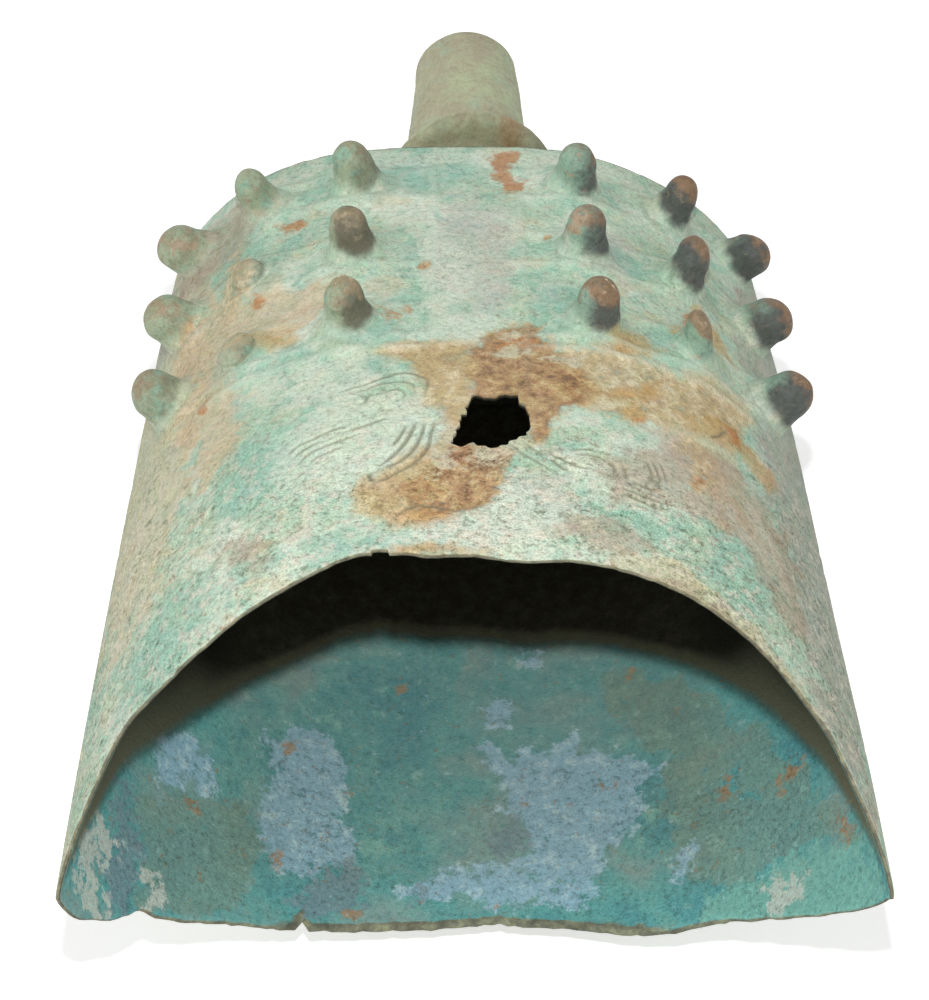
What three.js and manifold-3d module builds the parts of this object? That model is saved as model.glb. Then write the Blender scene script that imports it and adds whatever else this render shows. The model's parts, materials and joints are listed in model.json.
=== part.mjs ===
// Bronze shank bell lying on its back. The hollow body has an almond section of two arched faces
// that meet in side ribs, an arched rim and a flat crown. A tapered shank with a ring and a
// suspension loop stands on the crown, and each face carries two fields of nine bosses.
// Bell frame, before it is laid down: X across, +Y from the mouth to the shank, +Z out of the
// front face. The crown is at Y = 0, and "fall" is the distance from the crown towards the mouth.
// All sizes are in millimetres.

import * as THREE from "three";
import { mergeVertices } from "three/addons/utils/BufferGeometryUtils.js";
import Module from "manifold-3d";

const wasm = await Module();
wasm.setup();

// Body
const mouthWidth = 218;
const mouthDepth = 166;
const crownWidth = 186.5;
const crownDepth = 110;
const bodyLength = 244;
const rimArch = 48;
const wallThickness = 2.8;
const sideSwell = 1.6;
const crownThickness = 3.2;

// Form of the section and of the rim, as powers of the share of the half width
const sectionFullness = 2.8;
const sectionSharpness = 0.75;
const archSquareness = 3.2;

// Shank, with the casting clay left inside
const shankLength = 113;
const shankFootRadius = 25;
const shankEndRadius = 17;
const shankWall = 3.2;
const shankEndThickness = 4;

// Ring round the shank
const ringHeight = 49;
const ringWidth = 7;
const ringReach = 8.6;

// Suspension loop, which bridges the ring on the rear side
const loopBar = 6.4;
const loopSpan = 32;
const loopEye = 9;

// Bosses
const bossHeight = 16.5;
const bossHeadRadius = 6.2;
const bossWaistRadius = 5.9;
const bossRootRadius = 9.5;
const bossFlareShares = [[0.97, 0.05], [0.3, 0.4], [0, 1]];
const firstRowFall = 23;
const rowPitch = 35.5;
const columnShares = { inner: 0.338, middle: 0.64, outer: 0.848 };

// Height left on the bosses that are worn down, as a share of a whole boss
const wornShares = {
  boss_front_left_r2_middle: 0.36,
  boss_front_left_r3_middle: 0.33,
  boss_front_right_r3_middle: 0.85,
};

// Corroded hole in the front face, its outline in shares of its width and height
const holeWidth = 20.5;
const holeHeight = 22;
const holeAcross = 4.7;
const holeFall = 141;
const holeOutlineShares = [
  [-0.5, -0.37], [-0.39, -0.12], [-0.37, 0.12], [-0.26, 0.44], [-0.16, 0.5], [-0.03, 0.46],
  [0.27, 0.5], [0.37, 0.26], [0.49, 0.13], [0.5, -0.25], [0.31, -0.35], [0.17, -0.45],
  [-0.17, -0.5], [-0.3, -0.44], [-0.4, -0.47],
];

// Fits and facets
const seatGap = 0.3;
const overrun = 3;
const sectionSteps = 72;
const wallRows = 11;
const roundSteps = 40;
const bossSteps = 12;
const domeSteps = 5;
const ringFaceSteps = 8;
const loopSteps = 20;
const loopBarSteps = 5;

// Finishes
const patina = { color: 0xa3b5a0, roughness: 0.85, metalness: 0.25 };
const olive = { color: 0x9a9a78, roughness: 0.8, metalness: 0.3 };
const darkBronze = { color: 0x6c6a5a, roughness: 0.55, metalness: 0.5 };
const clay = { color: 0x9c7f5c, roughness: 0.95, metalness: 0 };

const frontSign = 1;
const rearSign = -1;

// Body form

function halfWidthAt(fall) {
  const share = fall / bodyLength;
  return THREE.MathUtils.lerp(crownWidth, mouthWidth, share) / 2 + sideSwell * 4 * share * (1 - share);
}

function halfDepthAt(fall) {
  const share = fall / bodyLength;
  return THREE.MathUtils.lerp(crownDepth, mouthDepth, share) / 2 + sideSwell * 4 * share * (1 - share);
}

function sectionShare(across) {
  return Math.pow(1 - Math.pow(Math.min(Math.abs(across), 1), sectionFullness), sectionSharpness);
}

// Fall of the rim: least at the middle of a face, and the whole body length at the rib tips.
function rimFallAt(across) {
  return bodyLength - rimArch * (1 - Math.pow(Math.abs(across), archSquareness));
}

// Point of a face. "proud" moves it outwards from the outer skin, and a negative value inwards.
function facePoint(across, fall, face, proud = 0) {
  const x = across * (halfWidthAt(fall) + proud);
  const z = face * sectionShare(across) * (halfDepthAt(fall) + proud);
  return new THREE.Vector3(x, -fall, z);
}

// Outward direction of a face at right angles to the section's curve, in the section's plane.
function faceNormal(across, fall, face) {
  const step = 1 / sectionSteps;
  const before = facePoint(across - step, fall, face);
  const after = facePoint(across + step, fall, face);
  const along = after.sub(before);
  return new THREE.Vector3(-along.z * face, 0, along.x * face).normalize();
}

// One ring of points round the section, from one rib over the front face and back behind.
function sectionRing(fallOf, proud) {
  const ring = [];
  for (let step = 0; step < sectionSteps; step += 1) {
    const angle = (2 * Math.PI * step) / sectionSteps;
    const across = Math.cos(angle);
    const face = step < sectionSteps / 2 ? frontSign : rearSign;
    ring.push(facePoint(across, fallOf(across), face, proud));
  }
  return ring;
}

// Rings from the top of the wall to the arched rim.
function wallRings(topFall, proud) {
  const rings = [];
  for (let row = 0; row <= wallRows; row += 1) {
    const share = row / wallRows;
    rings.push(sectionRing((across) => THREE.MathUtils.lerp(topFall, rimFallAt(across), share), proud));
  }
  return rings;
}

// Skins and solids

function geometryFrom(points, triangles) {
  const geometry = new THREE.BufferGeometry();
  const places = points.flatMap((point) => [point.x, point.y, point.z]);
  geometry.setAttribute("position", new THREE.Float32BufferAttribute(places, 3));
  geometry.setIndex(triangles);
  return geometry;
}

// Quads between rings of equal count, where "closed" joins the last ring to the first.
function ringTriangles(ringCount, pointCount, closed) {
  const triangles = [];
  const last = closed ? ringCount : ringCount - 1;
  for (let ring = 0; ring < last; ring += 1) {
    const next = (ring + 1) % ringCount;
    for (let point = 0; point < pointCount; point += 1) {
      const beside = (point + 1) % pointCount;
      const a = ring * pointCount + point;
      const b = ring * pointCount + beside;
      const c = next * pointCount + beside;
      const d = next * pointCount + point;
      triangles.push(a, b, c, a, c, d);
    }
  }
  return triangles;
}

function hollowSkin(rings) {
  return geometryFrom(rings.flat(), ringTriangles(rings.length, rings[0].length, true));
}

function cappedSkin(rings) {
  const pointCount = rings[0].length;
  const points = rings.flat();
  const triangles = ringTriangles(rings.length, pointCount, false);
  const lastStart = (rings.length - 1) * pointCount;
  const topCentre = points.push(centreOf(rings[0])) - 1;
  const endCentre = points.push(centreOf(rings.at(-1))) - 1;
  for (let point = 0; point < pointCount; point += 1) {
    const beside = (point + 1) % pointCount;
    triangles.push(topCentre, beside, point);
    triangles.push(endCentre, lastStart + point, lastStart + beside);
  }
  return geometryFrom(points, triangles);
}

function centreOf(ring) {
  const sum = ring.reduce((total, point) => total.add(point), new THREE.Vector3());
  return sum.divideScalar(ring.length);
}

function solidFrom(geometry) {
  const bare = geometry.clone();
  bare.deleteAttribute("normal");
  bare.deleteAttribute("uv");
  const welded = mergeVertices(bare);
  return new wasm.Manifold(new wasm.Mesh({
    numProp: 3,
    vertProperties: new Float32Array(welded.attributes.position.array),
    triVerts: new Uint32Array(welded.index.array),
  }));
}

function geometryOf(solid) {
  const mesh = solid.getMesh();
  const geometry = new THREE.BufferGeometry();
  geometry.setAttribute("position", new THREE.BufferAttribute(mesh.vertProperties, 3));
  geometry.setIndex(new THREE.BufferAttribute(mesh.triVerts, 1));
  geometry.computeVertexNormals();
  return geometry;
}

function namedMesh(name, geometry, finish) {
  const mesh = new THREE.Mesh(geometry, new THREE.MeshStandardMaterial(finish));
  mesh.name = name;
  return mesh;
}

// Body wall, open at the crown and at the mouth, with the corroded hole

function holeCutter() {
  const outline = new THREE.Shape(
    holeOutlineShares.map(([x, y]) => new THREE.Vector2(x * holeWidth, y * holeHeight)),
  );
  const reach = halfDepthAt(holeFall) + overrun;
  const geometry = new THREE.ExtrudeGeometry(outline, { depth: reach, bevelEnabled: false });
  geometry.translate(holeAcross, -holeFall, 0);
  return solidFrom(geometry);
}

function bodyWall() {
  const topFall = crownThickness + seatGap;
  const outer = wallRings(topFall, 0);
  const inner = wallRings(topFall, -wallThickness).reverse();
  const wall = solidFrom(hollowSkin([...outer, ...inner]));
  return namedMesh("body_wall", geometryOf(wall.subtract(holeCutter())), patina);
}

// Flat crown, with the hole that the shank's clay fills

function crownPlate() {
  const outline = sectionRing(() => 0, 0).map((point) => new THREE.Vector2(point.x, point.z));
  const plate = new THREE.Shape(outline);
  const hole = new THREE.Path();
  hole.absarc(0, 0, shankFootRadius - shankWall, 0, 2 * Math.PI, true);
  plate.holes.push(hole);
  const geometry = new THREE.ExtrudeGeometry(plate, {
    depth: crownThickness,
    bevelEnabled: false,
    curveSegments: roundSteps,
  });
  const mesh = namedMesh("crown_plate", geometry, patina);
  mesh.rotation.x = Math.PI / 2;
  return mesh;
}

// Shank and its fittings

function shankRadiusAt(height) {
  return THREE.MathUtils.lerp(shankFootRadius, shankEndRadius, height / shankLength);
}

function lathe(profile) {
  return new THREE.LatheGeometry(profile.map(([r, y]) => new THREE.Vector2(r, y)), roundSteps);
}

function shank() {
  const boreEnd = shankLength - shankEndThickness;
  return namedMesh("shank", lathe([
    [0, boreEnd],
    [shankRadiusAt(boreEnd) - shankWall, boreEnd],
    [shankRadiusAt(seatGap) - shankWall, seatGap],
    [shankRadiusAt(seatGap), seatGap],
    [shankEndRadius, shankLength],
    [0, shankLength],
  ]), olive);
}

function shankCore() {
  const coreEnd = shankLength - shankEndThickness - seatGap;
  const skinGap = shankWall + seatGap;
  return namedMesh("shank_core", lathe([
    [0, -crownThickness],
    [shankRadiusAt(0) - skinGap, -crownThickness],
    [shankRadiusAt(0) - skinGap, 0],
    [shankRadiusAt(coreEnd) - skinGap, coreEnd],
    [0, coreEnd],
  ]), clay);
}

// The ring's outer face is a squared half ellipse, and its bore follows the shank's taper.
function shankRing() {
  const low = ringHeight - ringWidth / 2;
  const high = ringHeight + ringWidth / 2;
  const profile = [[shankRadiusAt(high) + seatGap, high], [shankRadiusAt(low) + seatGap, low]];
  for (let step = 1; step < ringFaceSteps; step += 1) {
    const angle = Math.PI * (step / ringFaceSteps - 1 / 2);
    const radius = shankRadiusAt(ringHeight) + ringReach * Math.sqrt(Math.cos(angle));
    profile.push([radius, ringHeight + (ringWidth / 2) * Math.sin(angle)]);
  }
  profile.push(profile[0]);
  return namedMesh("shank_ring", lathe(profile), olive);
}

class LoopArch extends THREE.Curve {
  getPoint(share, target = new THREE.Vector3()) {
    const angle = Math.PI * share;
    const base = shankRadiusAt(ringHeight) - overrun;
    const crest = shankRadiusAt(ringHeight) + ringReach + loopEye + loopBar / 2;
    const height = ringHeight + ((loopSpan - loopBar) / 2) * Math.cos(angle);
    return target.set(0, height, -(base + (crest - base) * Math.sqrt(Math.sin(angle))));
  }
}

function suspensionLoop() {
  const section = new THREE.Shape();
  section.absarc(0, 0, loopBar / 2, 0, 2 * Math.PI, false);
  const arch = new THREE.ExtrudeGeometry(section, {
    extrudePath: new LoopArch(),
    steps: loopSteps,
    curveSegments: loopBarSteps,
  });
  const shankSpace = lathe([
    [0, 0],
    [shankRadiusAt(0) + seatGap, 0],
    [shankEndRadius + seatGap, shankLength],
    [0, shankLength],
  ]);
  const loop = solidFrom(arch).subtract(solidFrom(shankSpace));
  return namedMesh("suspension_loop", geometryOf(loop), olive);
}

// Bosses: a flared root, a narrower waist and a round head, seated on the wall's curve. The flare
// is given in shares of its spread beyond the waist and of the waist's height.

function bossProfile(heightShare) {
  const centre = bossHeight - bossHeadRadius;
  const start = -Math.acos(bossWaistRadius / bossHeadRadius);
  const waistHeight = centre + bossHeadRadius * Math.sin(start);
  const profile = [[0, -overrun], [bossRootRadius, -overrun]];
  for (const [spreadShare, riseShare] of bossFlareShares) {
    const radius = THREE.MathUtils.lerp(bossWaistRadius, bossRootRadius, spreadShare);
    profile.push([radius, waistHeight * riseShare * heightShare]);
  }
  for (let step = 1; step < domeSteps; step += 1) {
    const angle = THREE.MathUtils.lerp(start, Math.PI / 2, step / domeSteps);
    const radius = bossHeadRadius * Math.cos(angle);
    profile.push([radius, (centre + bossHeadRadius * Math.sin(angle)) * heightShare]);
  }
  profile.push([0, bossHeight * heightShare]);
  return profile.map(([r, y]) => new THREE.Vector2(r, y));
}

function rowFall(row) {
  return firstRowFall + (row - 1) * rowPitch;
}

function boss(name, across, row, face, bodySpace) {
  const profile = bossProfile(wornShares[name] ?? 1);
  const whole = solidFrom(new THREE.LatheGeometry(profile, bossSteps));
  const seat = facePoint(across, rowFall(row), face);
  const outwards = faceNormal(across, rowFall(row), face);
  const turn = new THREE.Quaternion().setFromUnitVectors(new THREE.Vector3(0, 1, 0), outwards);
  const place = new THREE.Matrix4().compose(seat, turn, new THREE.Vector3(1, 1, 1));
  const bodyHere = bodySpace.transform(place.clone().invert().elements);
  const finish = across > 0 && face === frontSign ? darkBronze : olive;
  const mesh = namedMesh(name, geometryOf(whole.subtract(bodyHere)), finish);
  mesh.position.copy(seat);
  mesh.quaternion.copy(turn);
  return mesh;
}

function bosses() {
  const group = new THREE.Group();
  const bodySpace = solidFrom(cappedSkin(wallRings(0, seatGap)));
  for (const [faceName, face] of [["front", frontSign], ["rear", rearSign]]) {
    for (const [sideName, side] of [["left", -1], ["right", 1]]) {
      for (const row of [1, 2, 3]) {
        for (const [columnName, share] of Object.entries(columnShares)) {
          const name = `boss_${faceName}_${sideName}_r${row}_${columnName}`;
          group.add(boss(name, side * share, row, face, bodySpace));
        }
      }
    }
  }
  return group;
}

// The bell lies on the inner bosses of the rear face's second and third rows.

function restingTilt() {
  const heads = [3, 2].map((row) => {
    const seat = facePoint(columnShares.inner, rowFall(row), rearSign);
    const outwards = faceNormal(columnShares.inner, rowFall(row), rearSign);
    return seat.addScaledVector(outwards, bossHeight - bossHeadRadius);
  });
  return Math.atan2(heads[1].z - heads[0].z, heads[1].y - heads[0].y);
}

const bell = new THREE.Group();
bell.add(bodyWall(), crownPlate(), shank(), shankCore(), shankRing(), suspensionLoop(), bosses());
bell.rotation.x = -restingTilt();

const lyingBell = new THREE.Group();
lyingBell.add(bell);
lyingBell.updateMatrixWorld(true);
const reach = new THREE.Box3().setFromObject(lyingBell, true);
const middle = reach.getCenter(new THREE.Vector3());
bell.position.set(-middle.x, -middle.y, -reach.min.z);

export default lyingBell;
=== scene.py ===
# Bronze shank bell lying on its back, thin walled and corroded, with its scrolls, ridges, pits and
# patina. Sizes are in millimetres in the bell's own frame: X across, +Y from the mouth to the shank,
# +Z out of the front face, with the crown at Y = 0. "Fall" is the distance from the crown towards
# the mouth, and "proud" the distance outwards from the wall's outer skin. laid() tilts such points
# as the bell lies and turns them into metres of the shared frame.

import json
import math
from contextlib import contextmanager

import bmesh
import bpy
import numpy as np
from mathutils import Matrix


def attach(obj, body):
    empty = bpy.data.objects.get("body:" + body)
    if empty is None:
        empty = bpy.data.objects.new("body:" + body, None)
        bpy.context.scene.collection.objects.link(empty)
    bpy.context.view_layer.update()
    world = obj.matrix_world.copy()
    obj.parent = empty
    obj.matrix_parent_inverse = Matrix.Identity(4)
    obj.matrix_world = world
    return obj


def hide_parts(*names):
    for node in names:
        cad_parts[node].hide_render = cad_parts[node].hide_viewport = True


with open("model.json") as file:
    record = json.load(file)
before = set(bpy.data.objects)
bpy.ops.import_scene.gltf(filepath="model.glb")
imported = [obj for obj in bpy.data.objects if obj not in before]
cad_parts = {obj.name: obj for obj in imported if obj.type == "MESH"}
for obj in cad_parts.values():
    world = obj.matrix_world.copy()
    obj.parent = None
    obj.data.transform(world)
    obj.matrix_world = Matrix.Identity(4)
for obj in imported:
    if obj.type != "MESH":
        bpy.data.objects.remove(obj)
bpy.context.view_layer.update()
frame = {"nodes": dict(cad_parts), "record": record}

# Body

MOUTH_WIDTH = 218
MOUTH_DEPTH = 166
CROWN_WIDTH = 186.5
CROWN_DEPTH = 110
BODY_LENGTH = 244
WALL = 2.8
SIDE_SWELL = 1.6
CROWN_THICKNESS = 3.2
SECTION_FULLNESS = 2.8
SECTION_SHARPNESS = 0.75

# Shank, ring and loop

SHANK_LENGTH = 113
SHANK_FOOT_RADIUS = 25
SHANK_END_RADIUS = 17
SHANK_WALL = 3.2
SHANK_END_THICKNESS = 4
RING_HEIGHT = 49
RING_WIDTH = 7
RING_REACH = 8.6
LOOP_BAR = 6.4
LOOP_SPAN = 32
LOOP_EYE = 9

# Bosses

BOSS_HEIGHT = 16.5
BOSS_HEAD_RADIUS = 6.1
BOSS_HEAD_LENGTH = 7
BOSS_ROOT_RADIUS = 11
FIRST_ROW_FALL = 23
ROW_PITCH = 35.5
COLUMN_SHARES = {"inner": 0.338, "middle": 0.64, "outer": 0.848}
HEAD_SHARES = {"inner": 0.97, "middle": 0.88, "outer": 1.15}
REAR_HEIGHT_SHARE = 0.985

# How the front's bosses differ, a line for each column from the crown's row to the mouth's: shares of
# the height and of the head's radius, and how far the top leans sideways and towards the crown
BOSS_FORMS = {
    ("left", "inner"): ((0.98, 1.0, 0, 0.6), (0.98, 1.0, 0.6, 0.4), (1.0, 1.0, 1.4, 0)),
    ("left", "middle"): ((0.95, 0.9, 2.8, 0.8), (0.4, 0.95, 0, 0), (0.36, 1.05, 0, 0)),
    ("left", "outer"): ((0.9, 1.22, -1.2, -1.4), (0.88, 1.2, -0.5, 0.2), (0.85, 1.22, 0.9, 2.2)),
    ("right", "inner"): ((1.0, 1.0, -1.0, 0.2), (1.0, 1.0, -1.2, 1.4), (1.0, 1.05, -0.6, 0)),
    ("right", "middle"): ((1.0, 0.95, -2.4, 0.8), (0.97, 0.95, -5.0, 2.0), (0.85, 0.8, -10, 0.2)),
    ("right", "outer"): ((0.93, 1.15, -0.8, -4.2), (0.96, 1.2, -1.0, -1.6), (0.97, 1.22, -0.6, 0)),
}
REAR_LEAN = 0.7

# Their tones in the same order: how dark the right side is, partly dark patina and partly painted
# shade, how brown the top, how bright its painted glints, and how far the dark goes round
BOSS_TONES = {
    ("left", "inner"): ((0.6, 0.4, 0, 0), (1.3, 0.6, 0.2, 0.2), (0.9, 0.9, 1.0, 0)),
    ("left", "middle"): ((0.4, 0.3, 0, 0), (0.9, 1.0, 0, 0.3), (0.5, 0.7, 0, 0)),
    ("left", "outer"): ((0.3, 0.4, 0, 0), (0.35, 0.5, 0, 0), (0.45, 0.5, 0, 0.3)),
    ("right", "inner"): ((0.7, 0.6, 0, 0), (0.9, 0.8, 0.3, 0), (0.8, 1.8, 0.7, 0.3)),
    ("right", "middle"): ((1.2, 1.5, 0, 0.7), (1.2, 1.0, 0.2, 0.7), (0.1, 2.2, 0.6, 0.6)),
    ("right", "outer"): ((1.3, 0.8, 0, 0.8), (1.1, 1.1, 0, 0.7), (1.3, 0.9, 0, 0.7)),
}
REAR_TONES = (0.3, 0.4, 0, 0.2)
FACES = {"front": 1, "rear": -1}
SIDES = {"left": -1, "right": 1}
ROWS = (1, 2, 3)

# How the bell lies: the record's mount on the shank's end gives its axis and place

end_mount = next(mount for mount in frame["record"]["mounts"] if mount["name"] == "shank_end")
AXIS = np.array(end_mount["axis"])
TILT = math.atan2(AXIS[2], AXIS[1])
CROWN_CENTRE = np.array(end_mount["pos_m"]) * 1000 - SHANK_LENGTH * AXIS


def turned(directions):
    """Directions of the bell's frame, turned about X by the tilt at which the bell lies."""
    x, y, z = np.moveaxis(np.asarray(directions, float), -1, 0)
    cosine, sine = math.cos(TILT), math.sin(TILT)
    return np.stack([x, cosine * y - sine * z, sine * y + cosine * z], -1)


def laid(points):
    """Points of the bell's frame in millimetres, tilted, set down and given in metres."""
    return (turned(points) + CROWN_CENTRE) / 1000


def fade(value, low, high):
    """Smooth step from 0 at low to 1 at high."""
    share = np.clip((value - low) / (high - low), 0, 1)
    return share * share * (3 - 2 * share)


def hump(distance, width):
    """1 at no distance, and 1/e at the width: e to the power of minus the square."""
    return np.exp(-(distance / width) ** 2)


def unit(directions):
    """Directions brought to the length of 1."""
    return directions / np.linalg.norm(directions, axis=-1, keepdims=True)


# Unevenness of the casting

CROWN_SHIFT = -0.7
LEFT_SHOULDER_SWELL = (-0.2, 1.8)
RIGHT_SHOULDER_SWELL = -1.5
RIGHT_WAIST = 0.75
MOUTH_PINCH = (0.8, 0.3)
SHANK_SWAY = 0.85
# Along an axis of the bell, where a shift starts and where it is full
TOWARDS_CROWN = (-95, -5)
OUT_FROM_AXIS = (40, 70)
ONTO_FRONT = (0, 25)
SHOULDER = (20, 60)
TOWARDS_MOUTH = (-20, -170)
RIB = (40, 100)
UP_THE_SHANK = (0, 80)
WAIST_START = (-60, -130)
WAIST_END = (-215, -150)


def cast_unevenly(points):
    """The crown leans left, the left shoulder is full, the mouth pinched, and the shank sways."""
    x, y, z = np.moveaxis(points.copy(), -1, 0)
    near_crown = fade(y, *TOWARDS_CROWN) * fade(np.hypot(x, z), *OUT_FROM_AXIS)
    high = near_crown * fade(z, *ONTO_FRONT)
    left = high * fade(-x, *SHOULDER)
    right = high * fade(x, *SHOULDER)
    left_pinch = MOUTH_PINCH[0] * fade(-x, *RIB)
    right_pinch = MOUTH_PINCH[1] * fade(x, *RIB)
    pinch = fade(y, *TOWARDS_MOUTH) * (left_pinch + right_pinch)
    sway = SHANK_SWAY * fade(y, *UP_THE_SHANK)
    waist = RIGHT_WAIST * fade(x, *RIB) * fade(y, *WAIST_START) * fade(y, *WAIST_END)
    moved_x = x + CROWN_SHIFT * near_crown + LEFT_SHOULDER_SWELL[0] * left + pinch + sway - waist
    moved_z = z + LEFT_SHOULDER_SWELL[1] * left + RIGHT_SHOULDER_SWELL * right
    return np.stack([moved_x, y, moved_z], -1)


# Form of the body

def half_span(fall, crown, mouth):
    """Half a width or depth: a straight widening from crown to mouth, plus a parabola's swell."""
    share = fall / BODY_LENGTH
    swell = SIDE_SWELL * 4 * share * (1 - share)
    return (crown + (mouth - crown) * share) / 2 + swell


def half_width(fall):
    """Half the body's width at a fall."""
    return half_span(fall, CROWN_WIDTH, MOUTH_WIDTH)


def half_depth(fall):
    """Half the body's depth at a fall."""
    return half_span(fall, CROWN_DEPTH, MOUTH_DEPTH)


def section_share(across):
    """Depth of the almond section as a share: (1 - |across| to the fullness) to the sharpness."""
    inside = np.clip(1 - np.abs(across) ** SECTION_FULLNESS, 0, 1)
    return inside ** SECTION_SHARPNESS


def face_point(across, fall, face, proud):
    """Point of a face at a share of the half width, moved out by growing both half axes."""
    x = across * (half_width(fall) + proud)
    z = face * section_share(across) * (half_depth(fall) + proud)
    return np.stack(np.broadcast_arrays(x, -fall, z), -1)


def face_normal(across, fall, face):
    """Outward direction at right angles to the section's curve, in the section's plane."""
    step = 0.01
    along = face_point(across + step, fall, face, 0) - face_point(across - step, fall, face, 0)
    normal = np.stack([-along[..., 2] * face, 0 * along[..., 0], along[..., 0] * face], -1)
    return unit(normal)


PROUD_STEPS = 7


def proud_of(points):
    """How far points stand out of the outer skin: steps down the slope of the section's equation."""
    x, y, z = np.moveaxis(points, -1, 0)
    width, depth = half_width(-y), half_depth(-y)
    power = 1 / SECTION_SHARPNESS
    proud = np.zeros(x.shape)
    for _ in range(PROUD_STEPS):
        wide = np.maximum(width + proud, 1)
        deep = np.maximum(depth + proud, 1)
        in_width = (np.abs(x) / wide) ** SECTION_FULLNESS
        in_depth = (np.abs(z) / deep) ** power
        slope = SECTION_FULLNESS * in_width / wide + power * in_depth / deep
        proud += (in_width + in_depth - 1) / np.maximum(slope, 1e-9)
    return proud


# Noise and lines

LATTICE = 16


def clouds(points, size, seed):
    """Smooth value noise from -1 to 1: random values on a lattice of the given size, blended."""
    table = np.random.default_rng(seed).uniform(-1, 1, (LATTICE, LATTICE, LATTICE))
    cell = np.asarray(points) / size
    base = np.floor(cell).astype(int)
    part = cell - base
    part = part * part * (3 - 2 * part)
    total = np.zeros(cell.shape[:-1])
    for corner in np.ndindex(2, 2, 2):
        i, j, k = np.moveaxis((base + corner) % LATTICE, -1, 0)
        weight = np.prod(np.where(corner, part, 1 - part), axis=-1)
        total += weight * table[i, j, k]
    return total


def layered_clouds(points, layers, seed):
    """Clouds of several sizes added up: each layer is given as its size and its reach."""
    return sum(reach * clouds(points, size, seed + number)
               for number, (size, reach) in enumerate(layers))


def wear(points, layers, seed):
    """Loss from 0 to the sum of all reaches, half of it where the clouds are 0."""
    return (sum(reach for _, reach in layers) + layered_clouds(points, layers, seed)) / 2


def smooth_line(points, step):
    """A curve through listed points, given at small steps.

    Each span is a cubic whose ends point along the line between the two neighbours.
    """
    points = np.asarray(points, float)
    ends = np.vstack([2 * points[0] - points[1], points, 2 * points[-1] - points[-2]])
    before, start, stop, after = ends[:-3], ends[1:-2], ends[2:-1], ends[3:]
    pieces = []
    for a, b, c, d in zip(before, start, stop, after):
        count = max(2, int(np.linalg.norm(c - b) / step))
        t = np.linspace(0, 1, count, endpoint=False)[:, None]
        bend = 2 * a - 5 * b + 4 * c - d
        twist = 3 * b - 3 * c + d - a
        pieces.append(b + (t * (c - a) + t * t * bend + t * t * t * twist) / 2)
    return np.vstack([*pieces, points[-1:]])


def line_distance(x, fall, line):
    """Distance to a broken line, and the share of the line's length at the nearest place."""
    best = np.full(x.shape, 1e3)
    share = np.zeros(x.shape)
    for number, (start, stop) in enumerate(zip(line[:-1], line[1:])):
        along = stop - start
        ahead = (x - start[0]) * along[0] + (fall - start[1]) * along[1]
        t = np.clip(ahead / (along @ along), 0, 1)
        reach = np.hypot(x - start[0] - t * along[0], fall - start[1] - t * along[1])
        nearer = reach < best
        best = np.where(nearer, reach, best)
        share = np.where(nearer, (number + t) / (len(line) - 1), share)
    return best, share


# Meshes

MERGE_DISTANCE = 1e-4
SHARP_ANGLE = math.radians(62)


def ring_quads(rows, columns, closed):
    """Quads of a grid whose columns join round, and whose last row joins the first if closed."""
    index = np.arange(rows * columns).reshape(rows, columns)
    if closed:
        index = np.vstack([index, index[:1]])
    beside = np.roll(index, -1, axis=1)
    return np.stack([index[:-1], beside[:-1], beside[1:], index[1:]], -1).reshape(-1, 4)


def signed_volume(points, faces):
    """Six times the volume inside the faces, positive where they point outwards."""
    total = 0
    for face in (faces[:, [0, 1, 2]], faces[:, [0, 2, 3]]):
        a, b, c = points[face[:, 0]], points[face[:, 1]], points[face[:, 2]]
        total += np.einsum("ij,ij->", a, np.cross(b, c))
    return total


@contextmanager
def opened(mesh):
    """A mesh opened for work on its faces, and closed again afterwards."""
    shape = bmesh.new()
    shape.from_mesh(mesh)
    yield shape
    shape.to_mesh(mesh)
    shape.free()


def grid_mesh(name, grid, closed):
    """A closed mesh from rings of points: a ring that shrinks to a point closes its end."""
    rows, columns = grid.shape[:2]
    points = grid.reshape(-1, 3)
    quads = ring_quads(rows, columns, closed)
    if signed_volume(points, quads) < 0:
        quads = quads[:, ::-1]
    mesh = bpy.data.meshes.new(name)
    mesh.from_pydata(points.tolist(), [], quads.tolist())
    with opened(mesh) as shape:
        bmesh.ops.remove_doubles(shape, verts=shape.verts, dist=MERGE_DISTANCE)
        bmesh.ops.dissolve_degenerate(shape, dist=MERGE_DISTANCE / 10, edges=shape.edges)
    return mesh


def mesh_points(mesh):
    """Places of all vertices, a row for each."""
    points = np.empty(len(mesh.vertices) * 3)
    mesh.vertices.foreach_get("co", points)
    return points.reshape(-1, 3)


def set_points(mesh, points):
    """Moves all vertices to new places."""
    mesh.vertices.foreach_set("co", np.ascontiguousarray(points, float).ravel())


def set_marks(mesh, **marks):
    """Keeps numbers for each vertex, which the finishes read by their names."""
    for name, values in marks.items():
        values = np.broadcast_to(np.asarray(values, float), len(mesh.vertices))
        mark = mesh.attributes.new(name, "FLOAT", "POINT")
        mark.data.foreach_set("value", np.ascontiguousarray(values))


def added(name, data):
    """An object of the scene that carries the data."""
    made = bpy.data.objects.new(name, data)
    bpy.context.scene.collection.objects.link(made)
    return made


def finished(mesh, finish, slot_name, *nodes):
    """Lays the mesh down, gives it its finish, and puts it in the place of its nodes."""
    set_points(mesh, laid(cast_unevenly(mesh_points(mesh))))
    mesh.polygons.foreach_set("use_smooth", np.ones(len(mesh.polygons), bool))
    mesh.set_sharp_from_angle(angle=SHARP_ANGLE)
    mesh.update()
    mesh.materials.clear()
    mesh.materials.append(finish)
    piece = added(mesh.name, mesh)
    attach(piece, "root")
    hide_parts(*nodes)
    return piece


# Finishes

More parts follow.
